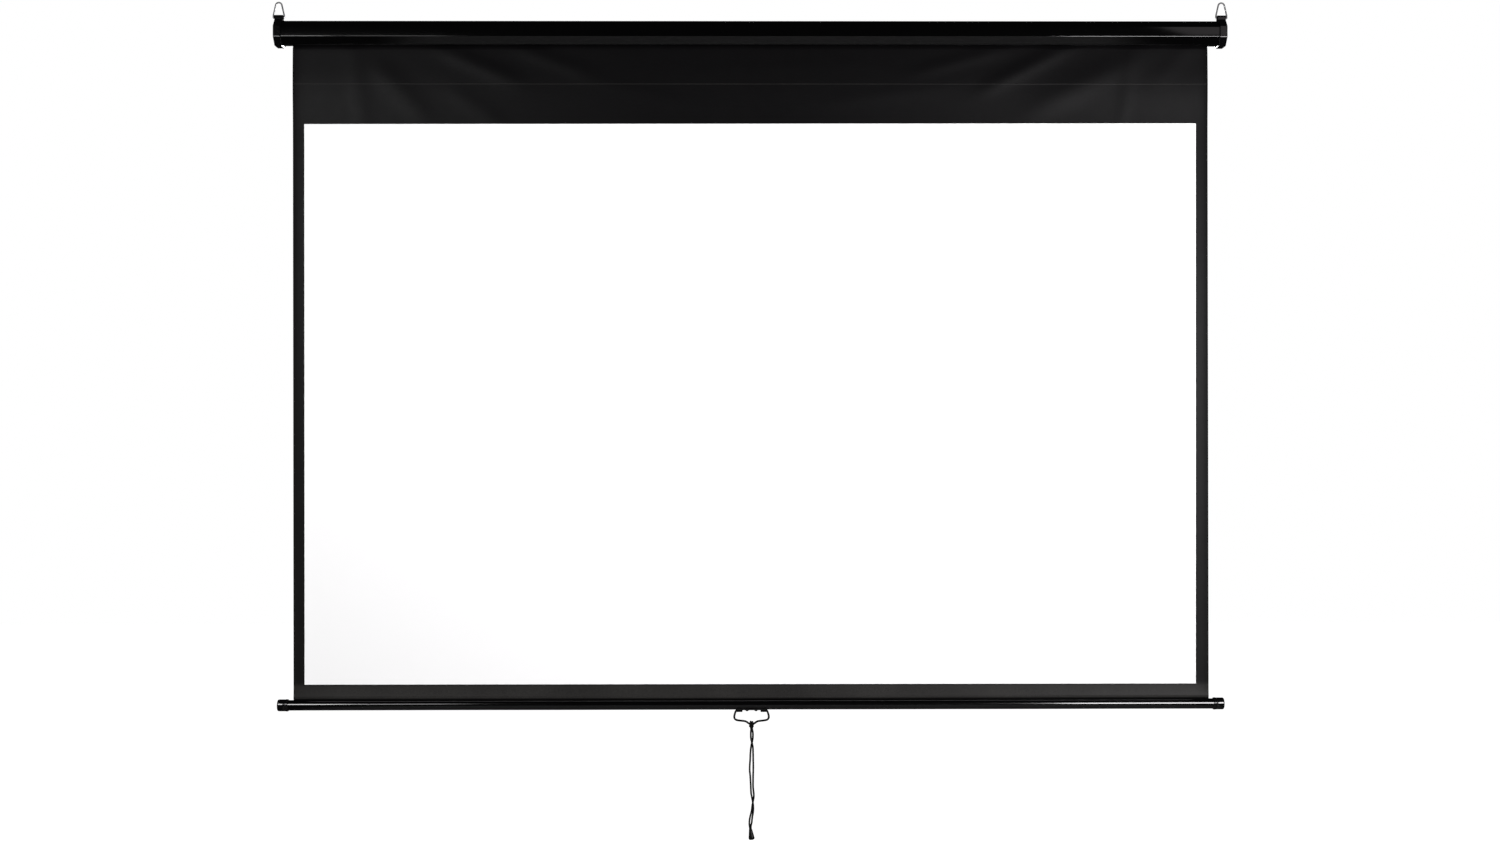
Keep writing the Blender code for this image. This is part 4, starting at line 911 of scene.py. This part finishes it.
# %% Bar caps
ENDS = ((-1, "left"), (1, "right"))
CAP_SIDES = 72
bar_cap_profile = (
    (0.0004, 0.0119), (0.0, 0.0122), (0.0, 0.0134), (0.00025, 0.0136), (0.0022, 0.01365),
    (0.0026, 0.01347), (0.0030, 0.01365), (0.0047, 0.0136), (0.0050, 0.01342), (0.0052, 0.01328),
    (0.0058, 0.01305), (0.0064, 0.01325), (0.0130, 0.01325), (0.0205, 0.01322), (0.0217, 0.01300),
    (0.0227, 0.01240), (0.0233, 0.01150), (0.0235, 0.01035), (0.0235, 0.00200),
)
for side, tag in ENDS:
    low, high = corners("bar_cap_" + tag)
    mouth = (low[0] if side > 0 else high[0], bar_centre[1], bar_centre[2])
    rings = turned(bar_cap_profile, mouth, (side, 0, 0), CAP_SIDES)
    cap = piece("bar_end_" + tag, [closed_tube(rings)], 40.0)
    dress(cap, "bar", cap_plastic, "cap_plastic", "bar_cap_" + tag)


# %% [markdown]
# ## The casing
#
# The casing is one strip of steel, rolled into a shell with eight flat sides. The
# cloth's slot is in its underside, with an inward lip at both edges. Its cross-section
# is a row of corners with a tight bend at each, thickened inwards by the sheet metal.
# The slot's rear edge lies just where the lower rear corner would be, so that corner is
# left out. Long flat facets mirror the studio, so they get a swell of a few hundredths
# of a millimetre, as thin painted steel has.

# %% Casing shell
FRONT_FACET = 0.0216
FACET_RUN = 0.0150
BACK_FACE = 0.0300
REAR_RUN = 0.0120
SHEET_METAL = 0.0008
BEND_RADIUS = 0.0018
SLOT_WIDTH = 0.0080
SLOT_LIP = 0.0045
CASING_STATIONS = 121
CASING_SWELL = 0.00005
SWELL_WAVES = ((5.3, 0.8), (2.1, 2.0))
BACK_MARGIN = 0.0001
casing_low, casing_high = corners("casing")
casing_front, casing_top = casing_low[1], casing_high[2]
casing_half = np.array(
    (
        (casing_front, -FRONT_FACET / 2),
        (casing_front, FRONT_FACET / 2),
        (casing_front + FACET_RUN, casing_top),
        (-REAR_RUN, casing_top),
        (0.0, BACK_FACE / 2),
        (0.0, -BACK_FACE / 2),
        (-REAR_RUN, -casing_top),
        (casing_front + FACET_RUN, -casing_top),
    )
)
slot_front = cloth_y - SLOT_WIDTH / 2
slot_rear = cloth_y + SLOT_WIDTH / 2
casing_route = np.vstack(
    (
        (slot_front, -casing_top + SLOT_LIP),
        (slot_front, -casing_top),
        casing_half[7:],
        casing_half[:6],
        (slot_rear, -casing_top),
        (slot_rear, -casing_top + SLOT_LIP),
    )
)
casing_section = filleted(casing_route, BEND_RADIUS, 6)
casing_stations = np.linspace(casing_low[0], casing_high[0], CASING_STATIONS)
casing_points, casing_faces = strip_solid(casing_section, -SHEET_METAL, casing_stations)
slow, slower = (np.sin(casing_points[:, 0] * turns + shift) for turns, shift in SWELL_WAVES)
on_back = casing_points[:, 1] > -SHEET_METAL - BACK_MARGIN
casing_points[:, 1] += np.where(on_back, 0.0, CASING_SWELL * slow * slower)
casing = piece("casing_shell", [(casing_points, casing_faces)], 50.0)
dress(casing, "casing_assembly", casing_paint, "casing_paint", "casing")


# %% [markdown]
# ## The moulded end caps
#
# A cap slips over each end of the casing. Its rim follows the casing's outline a few
# millimetres proud, but leaves the flat back free, so that casing and caps lie flush
# on the wall. A second solid closes the end. Both come from the same outline, moved
# outwards by a chosen distance, and a profile of (along, outwards) points rounds every
# edge that a mould would round.

# %% End caps
CAP_RIM = 0.0040
CAP_FLOOR = 0.0030
CAP_CORNER = 0.0030
RIM_GAP = 0.0003
RIM_CHAMFER = 0.0004
EDGE = 0.0010
PLATE_INSET = 0.012
BACK_FOOT = 5


def outline(distance, closed):
    """The casing's outline with each side moved outwards and its corners rounded.

    A moved corner is where its two moved sides cross. The back isn't moved, and an
    outline that isn't closed starts at the back's foot and ends at its top.
    """
    p = casing_half
    after = np.roll(p, -1, axis=0)
    along = unit(after - p)
    outward = np.stack((-along[:, 1], along[:, 0]), axis=1)
    at_back = (p[:, 0] == 0.0) & (after[:, 0] == 0.0)
    base = p + outward * np.where(at_back, 0.0, distance)[:, None]
    before, before_way = np.roll(base, 1, axis=0), np.roll(along, 1, axis=0)
    gap = base - before
    cross = before_way[:, 0] * along[:, 1] - before_way[:, 1] * along[:, 0]
    share = (gap[:, 0] * along[:, 1] - gap[:, 1] * along[:, 0]) / cross
    moved = before + before_way * share[:, None]
    if closed:
        return filleted(moved, CAP_CORNER, 5, closed=True)
    return filleted(np.roll(moved, -BACK_FOOT, axis=0), CAP_CORNER, 5)


def rings_of(profile, side, closed):
    """One outline for each (x, outwards) point, at that x, as a grid."""
    return np.vstack([carried(outline(distance, closed), [side * x]) for x, distance in profile])


def end_cap_parts(side, inner, end):
    """The rim round the casing and the end plate that closes it."""
    floor = end - CAP_FLOOR
    rim_profile = (
        (floor, RIM_GAP), (inner + RIM_CHAMFER, RIM_GAP), (inner, RIM_GAP + RIM_CHAMFER),
        (inner, CAP_RIM - EDGE * 0.8), (inner + EDGE * 0.25, CAP_RIM - EDGE * 0.25),
        (inner + EDGE * 0.8, CAP_RIM), (floor, CAP_RIM),
    )
    rim = rings_of(rim_profile, side, closed=False)
    rim_points, rim_faces = patch(rim, wrap_rows=True)
    rows, columns = rim.shape[:2]
    rim_faces += [list(range(start, rows * columns, columns)) for start in (0, columns - 1)]
    plate_profile = (
        (floor, CAP_RIM), (end - EDGE * 1.3, CAP_RIM), (end - EDGE * 0.75, CAP_RIM - EDGE * 0.18),
        (end - EDGE * 0.25, CAP_RIM - EDGE * 0.6), (end, CAP_RIM - EDGE * 1.3),
        (end, CAP_RIM - PLATE_INSET),
    )
    plate = rings_of(plate_profile, side, closed=True)
    return [(rim_points, rim_faces), closed_tube(plate)]


# %% [markdown]
# On top of each cap stands a lug that carries the hanging ring. It is a stack of
# rounded rectangles that narrows to a crown, and the casing's end screws sit below it.

# %% Lugs, and the caps put together
LUG_DEPTH = 0.0140
LUG_WIDTH = 0.0200
LUG_CROWN = 0.0045
LUG_CORNER = 0.0012
LUG_HEAD = 0.0060
LUG_GUSSET = 0.0034
LUG_SOFTENING = 0.0006
LUG_SUNK = 0.001
CROWN_SHARE = 0.97
OVAL_RADIUS, OVAL_HEIGHT, OVAL_RECESS = 0.0034, 0.0007, 0.0006


def lug_part(side, x_middle, y_middle, foot, top):
    """The hanging lug: rounded rectangles stacked upwards, narrowing to a crown.

    Over the last part the half depth follows a circle, and the outer side leans in
    under the head, as the gusset of the moulding does.
    """
    quarter = np.linspace(0.0, 1.0, 9)[1:] * math.pi / 2 * CROWN_SHARE
    z = np.concatenate(
        (
            np.linspace(foot, top - LUG_HEAD, 5),
            np.linspace(top - LUG_HEAD, top - LUG_CROWN, 3)[1:],
            top - LUG_CROWN * (1 - np.sin(quarter)),
        )
    )
    over = np.clip((z - (top - LUG_CROWN)) / LUG_CROWN, 0.0, 1.0)
    half_depth = LUG_DEPTH / 2 - LUG_CROWN * (1 - np.sqrt(1 - over**2))
    lean = LUG_GUSSET * np.clip((top - LUG_HEAD - z) / (top - LUG_HEAD - foot), 0.0, 1.0)
    soften = LUG_SOFTENING * over**6
    inner = -LUG_WIDTH / 2 + soften
    outer = LUG_WIDTH / 2 - lean - soften
    rings = []
    for low, high, half, height in zip(inner, outer, half_depth, z):
        corner_points = ((low, -half), (high, -half), (high, half), (low, half))
        flat = filleted(corner_points, LUG_CORNER, 4, closed=True)
        x, y = side * (x_middle + flat[:, 0]), y_middle + flat[:, 1]
        rings.append(np.column_stack((x, y, np.full(len(flat), height))))
    return closed_tube(np.stack(rings))


ring_axis = joint_places["ring_right_swing"]
for side, tag in ENDS:
    low, high = corners("end_cap_" + tag)
    cap_inner = min(abs(low[0]), abs(high[0]))
    cap_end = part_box("bracket_screw_" + tag + "_upper")[1 if side > 0 else 0][0] * side
    parts = end_cap_parts(side, cap_inner, cap_end)
    parts.append(lug_part(side, abs(ring_axis[0]), ring_axis[1], casing_top + LUG_SUNK, high[2]))
    cap = piece("end_moulding_" + tag, parts, 30.0)
    flat_faces = cap.modifiers.new("flat_faces", "WEIGHTED_NORMAL")
    flat_faces.keep_sharp = True
    dress(cap, "casing_assembly", cap_plastic, "cap_plastic", "end_cap_" + tag)
    for level in ("upper", "lower"):
        node = f"bracket_screw_{tag}_{level}"
        screw_low, screw_high = corners(node)
        middle = (screw_low + screw_high) / 2
        spot = (side * cap_end, middle[1], middle[2])
        head = screw_head(spot, (side, 0, 0), OVAL_RADIUS, OVAL_HEIGHT, OVAL_RECESS)
        screw = piece(f"oval_screw_{tag}_{level}", [head], 30.0)
        dress(screw, "casing_assembly", screw_black, "screw_black", node)


# %% [markdown]
# ## The hanging rings
#
# Each lug carries a ring of bright steel wire, wide at the lug and narrow at its round
# top, which hooks over a screw in the wall or ceiling. Half of the route is a stub into
# the lug, a bend, a straight leg and a quarter of the crown.

# %% Rings
RING_WIRE_RADIUS = 0.0017
RING_RISE = 0.0298
RING_CROWN = 0.0070
RING_STUB = 0.0048
RING_BEND = 0.0018
RING_PLAY = 0.0003
ring_side = LUG_WIDTH / 2 + RING_PLAY + RING_WIRE_RADIUS
for side, tag in ENDS:
    pivot = joint_places["ring_" + tag + "_swing"]
    lug_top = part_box("end_cap_" + tag)[1][2]
    crown_z = lug_top + RING_RISE - RING_WIRE_RADIUS - RING_CROWN
    reach = math.hypot(ring_side, crown_z - lug_top)
    touch = math.acos(RING_CROWN / reach) - math.atan2(crown_z - lug_top, ring_side)
    t = np.linspace(touch, math.pi - touch, 40)
    crown = np.stack((RING_CROWN * np.cos(t), crown_z + RING_CROWN * np.sin(t)), axis=1)
    stub = ring_side - RING_STUB - RING_WIRE_RADIUS
    leg = filleted(((stub, pivot[2]), (ring_side, pivot[2]), (ring_side, lug_top)), RING_BEND, 10)
    flat = np.vstack((leg, crown, (leg * (-1.0, 1.0))[::-1]))
    path = np.column_stack((pivot[0] + flat[:, 0], np.full(len(flat), pivot[1]), flat[:, 1]))
    tube = closed_tube(swept(path, RING_WIRE_RADIUS, 20))
    hang_ring = piece("wire_ring_" + tag, [tube], 60.0)
    dress(hang_ring, "ring_" + tag, ring_steel, "zinc_steel", "hang_ring_" + tag)


# %% [markdown]
# ## The cloth
#
# The sheet is coated black cloth with a matt white picture on its face. The bar's
# weight pulls it flat, but never perfectly: the drop above the picture keeps soft
# slanting folds from the roller, both side edges curl forward a little, and a faint
# crease crosses it where it lay folded over the bar in its box. All of that is one
# function of the place on the sheet, and both layers read it, so that they stay
# together. The cloth hangs free, so the function is worked out and not simulated: the
# folds of a real one are set by how it was wound.

# %% How far the cloth stands out
CURL_DEPTH = 0.0024
CURL_WIDTH = 0.0110
BELLY_Z = -0.112
BELLY_HALF = 0.062
BELLY_DEPTH = 0.0028
SHOULDER_DEPTH = 0.0014
SHOULDER_RUN = 0.0045
CREASE_Z = -0.1105
CREASE_DEPTH = 0.00014
CREASE_WIDTH = 0.0009
CREASE_LEAST = 0.35
CREASE_FULL_X = 0.60
CREASE_REACH = 0.28
FADE_TOP = 0.004
FADE_RUN = 0.012
FADE_FOOT = 0.030
SHOULDER_RISE = 0.001
SHOULDER_FADE = 0.5
FOOT_LEAN = 0.0033
LEAN_CURVE = 0.35
FOLDS = (
    (0.465, -0.060, 15.0, 0.110, 0.017, 0.0013),
    (0.620, -0.074, 27.0, 0.115, 0.019, 0.0021),
    (0.745, -0.112, 27.0, 0.150, 0.030, 0.0019),
    (0.845, -0.120, 82.0, 0.090, 0.014, 0.0010),
    (0.960, -0.050, 50.0, 0.070, 0.022, 0.0008),
    (0.300, -0.135, 8.0, 0.160, 0.020, 0.0006),
    (0.060, -0.075, 3.0, 0.200, 0.016, 0.0003),
    (-0.440, -0.060, -20.0, 0.090, 0.019, 0.0017),
    (-0.605, -0.072, -23.0, 0.100, 0.020, 0.0021),
    (-0.783, -0.130, -47.0, 0.090, 0.026, 0.0017),
    (-0.613, -0.165, -32.0, 0.070, 0.022, 0.0012),
    (-0.880, -0.115, -82.0, 0.120, 0.022, 0.0011),
    (-0.250, -0.130, -14.0, 0.140, 0.020, 0.0006),
)
WAVES = (
    (0.00035, 6.3, 1.9, 0.4, 0.0, 3.1, 0.7),
    (0.00018, 14.7, -4.1, 1.2, 1.7, 7.3, 0.0),
)
cloth_half = cloth_high[0]
hem_top = cloth_low[2]
picture_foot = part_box("white_viewing_layer")[0][2]


def stand_out(x, z):
    """How far the cloth's middle stands towards the viewers at each (x, z).

    A fold is height * exp(-(across / width)^2) * exp(-(along / length)^4), with along
    and across taken from its own middle and slant. The curl grows exponentially
    towards a side edge. The crease is a bell curve of the height, and deepest at one
    place in either half. A long shallow wave is height * sin(a x + b z + c) * sin(d x +
    e z + f), and everything fades out towards the slot above and the bar below.
    """
    out = np.zeros_like(x)
    for fold_x, fold_z, slant, length, width, height in FOLDS:
        angle = math.radians(slant)
        along = (x - fold_x) * math.cos(angle) + (z - fold_z) * math.sin(angle)
        across = (z - fold_z) * math.cos(angle) - (x - fold_x) * math.sin(angle)
        out += height * np.exp(-((across / width) ** 2) - (along / length) ** 4)
    near = np.exp(-(((np.abs(x) - CREASE_FULL_X) / CREASE_REACH) ** 4))
    crease_share = CREASE_LEAST + (1 - CREASE_LEAST) * near
    out += CREASE_DEPTH * crease_share * np.exp(-(((z - CREASE_Z) / CREASE_WIDTH) ** 2))
    waves = np.zeros_like(x)
    for height, a, b, c, d, e, f in WAVES:
        waves += height * np.sin(x * a + z * b + c) * np.sin(x * d + z * e + f)
    out += waves + BELLY_DEPTH * np.exp(-(((z - BELLY_Z) / BELLY_HALF) ** 2))
    edge = cloth_half - np.abs(x)
    out += CURL_DEPTH * np.exp(-edge / CURL_WIDTH)
    above = np.clip((casing_low[2] + FADE_TOP - z) / FADE_RUN, 0.0, 1.0)
    below = np.clip((z - hem_top) / FADE_FOOT, 0.0, 1.0)
    fade = above * above * (3 - 2 * above) * below * below * (3 - 2 * below)
    foot = np.clip((picture_foot - z) / (picture_foot - hem_top), 0.0, 1.0)
    below_slot = np.clip(casing_low[2] + SHOULDER_RISE - z, 0.0, None)
    shoulder = SHOULDER_DEPTH * (1 - np.exp(-below_slot / SHOULDER_RUN))
    shoulder = shoulder * np.exp(-below_slot / SHOULDER_FADE)
    return out * fade + shoulder + FOOT_LEAN * foot * (LEAN_CURVE * foot + (1 - LEAN_CURVE))


def thin_sheet(x_values, z_values, thickness, lift, steps):
    """Two copies of one grid, a thickness apart, whose edges are joined all round.

    steps gives how far each corner is off square, as (right, up): upper left, upper
    right, lower left, lower right. In between they blend in proportion.
    """
    x, z = np.meshgrid(x_values, z_values, indexing="xy")
    right = ((x - x_values[0]) / (x_values[-1] - x_values[0]))[..., None]
    up = ((z - z.min()) / (z.max() - z.min()))[..., None]
    upper_left, upper_right, lower_left, lower_right = np.array(steps)
    off = up * ((1 - right) * upper_left + right * upper_right)
    off += (1 - up) * ((1 - right) * lower_left + right * lower_right)
    x, z = x + off[..., 0], z + off[..., 1]
    y = cloth_y - lift - stand_out(x, z)
    front = np.stack((x, y - thickness / 2, z), axis=-1)
    rear = np.stack((x, y + thickness / 2, z), axis=-1)
    rows, columns = x.shape
    around = np.concatenate(
        (
            np.arange(columns),
            np.arange(1, rows) * columns + columns - 1,
            (rows - 1) * columns + np.arange(columns - 2, -1, -1),
            np.arange(rows - 2, 0, -1) * columns,
        )
    )
    count = rows * columns
    after = np.roll(around, -1)
    faces = quads(rows, columns)
    faces += [[index + count for index in face[::-1]] for face in quads(rows, columns)]
    faces += np.stack((around, after, after + count, around + count), axis=1).tolist()
    return np.vstack((front.reshape(-1, 3), rear.reshape(-1, 3))), faces


# %% [markdown]
# The grid is fine where the folds are and near the side edges, and coarse over the
# picture, so the sheet stays light.

# %% Sheets
CLOTH_THICKNESS = 0.0004
PICTURE_THICKNESS = 0.0002
LAYER_GAP = 0.0001
CREASE_BAND = 0.003
FINE_DROP = 0.012
EDGE_STRIP = 0.020
CLOTH_STEPS = ((0.0, 0.0), (0.0, 0.0), (0.0, 0.0), (0.0016, 0.0))
PICTURE_STEPS = ((0.0009, -0.0020), (-0.0015, 0.0), (0.0, 0.0024), (-0.0025, 0.0014))
picture_low, picture_high = corners("white_viewing_layer")


def graded(low, high, middle_count, edge_width, edge_count):
    """Even steps in the middle, and finer ones over an edge strip at both ends."""
    left = np.linspace(low, low + edge_width, edge_count, endpoint=False)
    right = np.linspace(high - edge_width, high, edge_count + 1)[1:]
    middle = np.linspace(low + edge_width, high - edge_width, middle_count)
    return np.concatenate((left, middle, right))


def squash_with_bar(obj):
    """Give a sheet its own copy of its mesh.
    """
    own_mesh(obj)


sheet_x = graded(-cloth_half, cloth_half, 200, EDGE_STRIP, 8)
levels = (
    0.0, casing_low[2], casing_low[2] - FINE_DROP, CREASE_Z + CREASE_BAND,
    CREASE_Z - CREASE_BAND, picture_high[2], picture_foot, hem_top,
)
row_counts = (8, 12, 24, 20, 30, 60, 11)
stretches = zip(levels, levels[1:], row_counts)
rows = [np.linspace(start, stop, count, endpoint=False) for start, stop, count in stretches]
sheet_z = np.concatenate((*rows, [hem_top]))
cloth_grid = thin_sheet(sheet_x, sheet_z, CLOTH_THICKNESS, 0.0, CLOTH_STEPS)
cloth = piece("screen_cloth", [cloth_grid], 60.0)
dress(cloth, "casing_assembly", cloth_black, "black_fabric", "black_fabric")
picture_x = np.linspace(picture_low[0], picture_high[0], 180)
picture_z = np.linspace(picture_high[2], picture_low[2], 110)
lift = CLOTH_THICKNESS / 2 + LAYER_GAP + PICTURE_THICKNESS / 2
picture_grid = thin_sheet(picture_x, picture_z, PICTURE_THICKNESS, lift, PICTURE_STEPS)
picture = piece("picture_surface", [picture_grid], 60.0)
dress(picture, "casing_assembly", picture_white, "white_surface", "white_viewing_layer")
squash_with_bar(cloth)
squash_with_bar(picture)


# %% [markdown]
# ## The hem
#
# The sheet's foot is turned over a plastic rod and stitched, and the rod keeps it in
# the bar's slot. Just above the bar the doubled cloth leans forward a little and shows
# as a darker band. Its section is the pocket's round, a narrow neck through the slot
# and the leaning band, and a row of small stitches closes it.

# %% Hem and stitches
HEM_NECK = 0.0004
HEM_WALL = 0.0004
ROD_PLAY = 0.0003
HEM_TURN = -1.4856
HEM_CURVE = 0.3
BAND_SUNK = 0.001
STITCH_PITCH = 0.0042
STITCH_LENGTH = 0.0030
STITCH_RADIUS = 0.00022
STITCH_ARCH = 1.2
STITCH_DROP = 0.0016
hem_low, hem_high = corners("fabric_hem")
rod_low, rod_high = corners("hem_rod")
rod_middle = (rod_low + rod_high) / 2
pocket = (rod_high[2] - rod_low[2]) / 2 + ROD_PLAY
neck_angle = math.asin(HEM_NECK / (pocket + HEM_WALL))
pocket_arc = arc(rod_middle[1:], pocket + HEM_WALL, neck_angle, math.tau - neck_angle, 29)
slot_z = bar_centre[2] + BAR_RADIUS


def lean(z):
    """How far the band stands forward: from nothing at the slot to the sheet's foot."""
    share = np.clip((z - slot_z) / (HEM_TURN - slot_z), 0.0, 1.0)
    return FOOT_LEAN * share * (1 + HEM_CURVE - HEM_CURVE * share)


band_z = np.linspace(slot_z - BAND_SUNK, hem_top, 14)
band_rear = np.column_stack((cloth_y + HEM_NECK - lean(band_z), band_z))
band_front = np.column_stack((cloth_y - HEM_NECK - lean(band_z), band_z))
hem_section = np.vstack((pocket_arc, band_front, band_rear[::-1]))
hem_rings = carried(hem_section, np.linspace(hem_low[0], hem_high[0] + CLOTH_STEPS[3][0], 41))
hem = piece("stitched_hem", [closed_tube(hem_rings)], 50.0)
dress(hem, "bar", cloth_black, "black_fabric", "fabric_hem")


def stitch_row():
    """Short arched threads side by side: one small tube, repeated at each pitch."""
    starts = np.arange(hem_low[0] + STITCH_PITCH, hem_high[0] - STITCH_PITCH, STITCH_PITCH)
    t = np.linspace(0.0, 1.0, 5)
    z = hem_high[2] - STITCH_DROP
    face_y = cloth_y - HEM_NECK - float(lean(np.array(z)))
    thread_y = face_y - STITCH_RADIUS * STITCH_ARCH * np.sin(t * math.pi)
    one = np.column_stack(((t - 0.5) * STITCH_LENGTH, thread_y, np.full(5, z)))
    points, faces = closed_tube(swept(one, STITCH_RADIUS, 6, (0.0, 0.0, 1.0)))
    shifts = np.zeros((len(starts), 1, 3))
    shifts[:, 0, 0] = starts
    first_points = range(0, len(starts) * len(points), len(points))
    all_faces = [[index + first for index in face] for first in first_points for face in faces]
    return (points[None] + shifts).reshape(-1, 3), all_faces


stitches = piece("hem_stitches", [stitch_row()], 60.0)
dress(stitches, "bar", thread_black, "black_fabric")


# %% [markdown]
# ## Materials for the inner works
#
# The roller, its plugs, the shaft, the spring, the lock, the brackets and the hem's rod
# stay as packed, because their shapes are right. They only get their finishes.

# %% Finishes of the inner works
INNER = (
    (zinc_plate, (
        "tang_bracket", "idle_bracket", "tang_shaft", "ratchet_disc", "idle_pin",
        "pawl_a", "pawl_b", "pawl_pin_a", "pawl_pin_b",
    )),
    (nylon, (
        "idle_bush", "spring_anchor", "spring_end_plug", "drive_plug", "idle_end_plug", "hem_rod",
    )),
    (spring_steel, ("torsion_spring",)),
    (tube_steel, ("roller_tube",)),
    (cloth_black, ("fabric_roll",)),
)
for mat, inner_nodes in INNER:
    for node in inner_nodes:
        mesh = nodes[node].data
        mesh.materials.clear()
        mesh.materials.append(mat)
print("inner pieces with a finish:", sum(len(inner_nodes) for _, inner_nodes in INNER))


# %% [markdown]
# ## Floor, backdrop and lamps
#
# The camera sees the screen in front of a white world. Shiny surfaces see a nearly
# dark room instead, which is why the gloss casing looks black, and other rays get a
# faint even fill. A white paper floor lies below, and what reflections see of it is a
# strip about as wide as the casing. It shows in the faces that look down.

# %% World
FILL = 0.34
ROOM_DIM = 0.008
WHITE = (1.0, 1.0, 1.0)
scene = bpy.context.scene
world = bpy.data.worlds.new("paper_backdrop")
scene.world = world
world.use_nodes = True
world.cycles.sampling_method = "NONE"
tree = world.node_tree
ray = wired(tree, "LightPath", {})
strength = blend(tree, ray["Is Glossy Ray"], FILL, ROOM_DIM)
seen = math_node(tree, "MAXIMUM", ray["Is Camera Ray"], ray["Is Transmission Ray"])
background = tree.nodes["Background"].inputs
background["Color"].default_value = (*WHITE, 1.0)
tree.links.new(blend(tree, seen, strength, 1.0), background["Strength"])
print("world:", world.name)

# %% Floor
FLOOR_DROP = 0.20
FLOOR_SIZE = 14.0
FLOOR_POINTS = 29
FLOOR_WHITE = 0.82
FLOOR_GLOW = 0.76
FLOOR_LOOK = {"Roughness": 0.9, "Specular IOR Level": 0.1, "Emission Color": (*WHITE, 1.0)}
PAPER_MIDDLE = 0.06
PAPER_HALF = 1.15
PAPER_SOFT = 0.10
PAPER_LEVEL = 0.17
STUDIO_DARK = 0.01
steps = np.linspace(-FLOOR_SIZE / 2, FLOOR_SIZE / 2, FLOOR_POINTS)
floor_x, floor_y = np.meshgrid(steps, steps, indexing="ij")
floor_z = np.full_like(floor_x, cad_box[0].z - FLOOR_DROP)
floor = piece("paper_floor", [patch(np.stack((floor_x, floor_y, floor_z), axis=-1))])
floor_paper = bpy.data.materials.new("floor_paper")
floor_paper.use_nodes = True
tree = floor_paper.node_tree
shader = tree.nodes["Principled BSDF"].inputs
for label, value in FLOOR_LOOK.items():
    shader[label].default_value = value
by_camera = wired(tree, "LightPath", {})["Is Camera Ray"]
place = wired(tree, "SeparateXYZ", {0: wired(tree, "TexCoord", {})["Object"]})
aside = math_node(tree, "ABSOLUTE", math_node(tree, "SUBTRACT", place["X"], PAPER_MIDDLE))
edges = (PAPER_HALF + PAPER_SOFT, PAPER_HALF - PAPER_SOFT)
paper = ramp(tree, aside, *edges, STUDIO_DARK, PAPER_LEVEL, interpolation_type="SMOOTHSTEP")
level = blend(tree, by_camera, paper, FLOOR_WHITE)
grey = wired(tree, "CombineColor", {"Red": level, "Green": level, "Blue": level})["Color"]
tree.links.new(grey, shader["Base Color"])
tree.links.new(math_node(tree, "MULTIPLY", by_camera, FLOOR_GLOW), shader["Emission Strength"])
floor.data.materials.append(floor_paper)

# %% [markdown]
# The lamps: two soft boxes stand in front, left and right of the camera. They light the
# cloth evenly, and they are the streaks on the bar's ends and along the casing's lower
# edge. A strip beside the left one and a dim card high on the right are the softer ends
# of those streaks. One more stands behind, so that the back of the casing and cloth can
# be read. Its beam is narrow and stays high up: a wide one would catch the edges of the
# cord and make it look grey from the front.

# %% Lamps
FRONT_AIM_Z = -0.75
BACK_AIM_Z = -0.10
OPEN_BEAM = 180.0
NARROW_BEAM = 50.0
LAMPS = (
    ("left_softbox", (-1.90, -2.45, -0.18), FRONT_AIM_Z, (1.10, 0.80), OPEN_BEAM, 55.0, WHITE),
    ("left_spill", (-1.18, -2.45, -0.18), FRONT_AIM_Z, (0.34, 0.80), OPEN_BEAM, 4.5, WHITE),
    ("right_softbox", (1.68, -2.45, -0.66), FRONT_AIM_Z, (1.30, 1.00), OPEN_BEAM, 112.0, (1.0, 0.985, 1.0)),
    ("right_card", (2.00, -2.45, 0.75), FRONT_AIM_Z, (1.30, 0.80), OPEN_BEAM, 2.1, (1.0, 0.93, 0.95)),
    ("back_softbox", (0.30, 2.45, 0.10), BACK_AIM_Z, (2.40, 0.50), NARROW_BEAM, 30.0, WHITE),
)
for name, place, aim_z, size, beam, power, colour in LAMPS:
    lamp_data = bpy.data.lights.new(name, "AREA")
    lamp_data.shape = "RECTANGLE"
    lamp_data.size, lamp_data.size_y = size
    lamp_data.spread = math.radians(beam)
    lamp_data.energy = power
    lamp_data.color = colour
    lamp = bpy.data.objects.new(name, lamp_data)
    lamp.location = place
    aim = Vector((0.0, 0.0, aim_z))
    lamp.rotation_euler = (aim - Vector(place)).to_track_quat("-Z", "Y").to_euler()
    lamp.visible_camera = False
    scene.collection.objects.link(lamp)
print("lamps:", len(LAMPS))
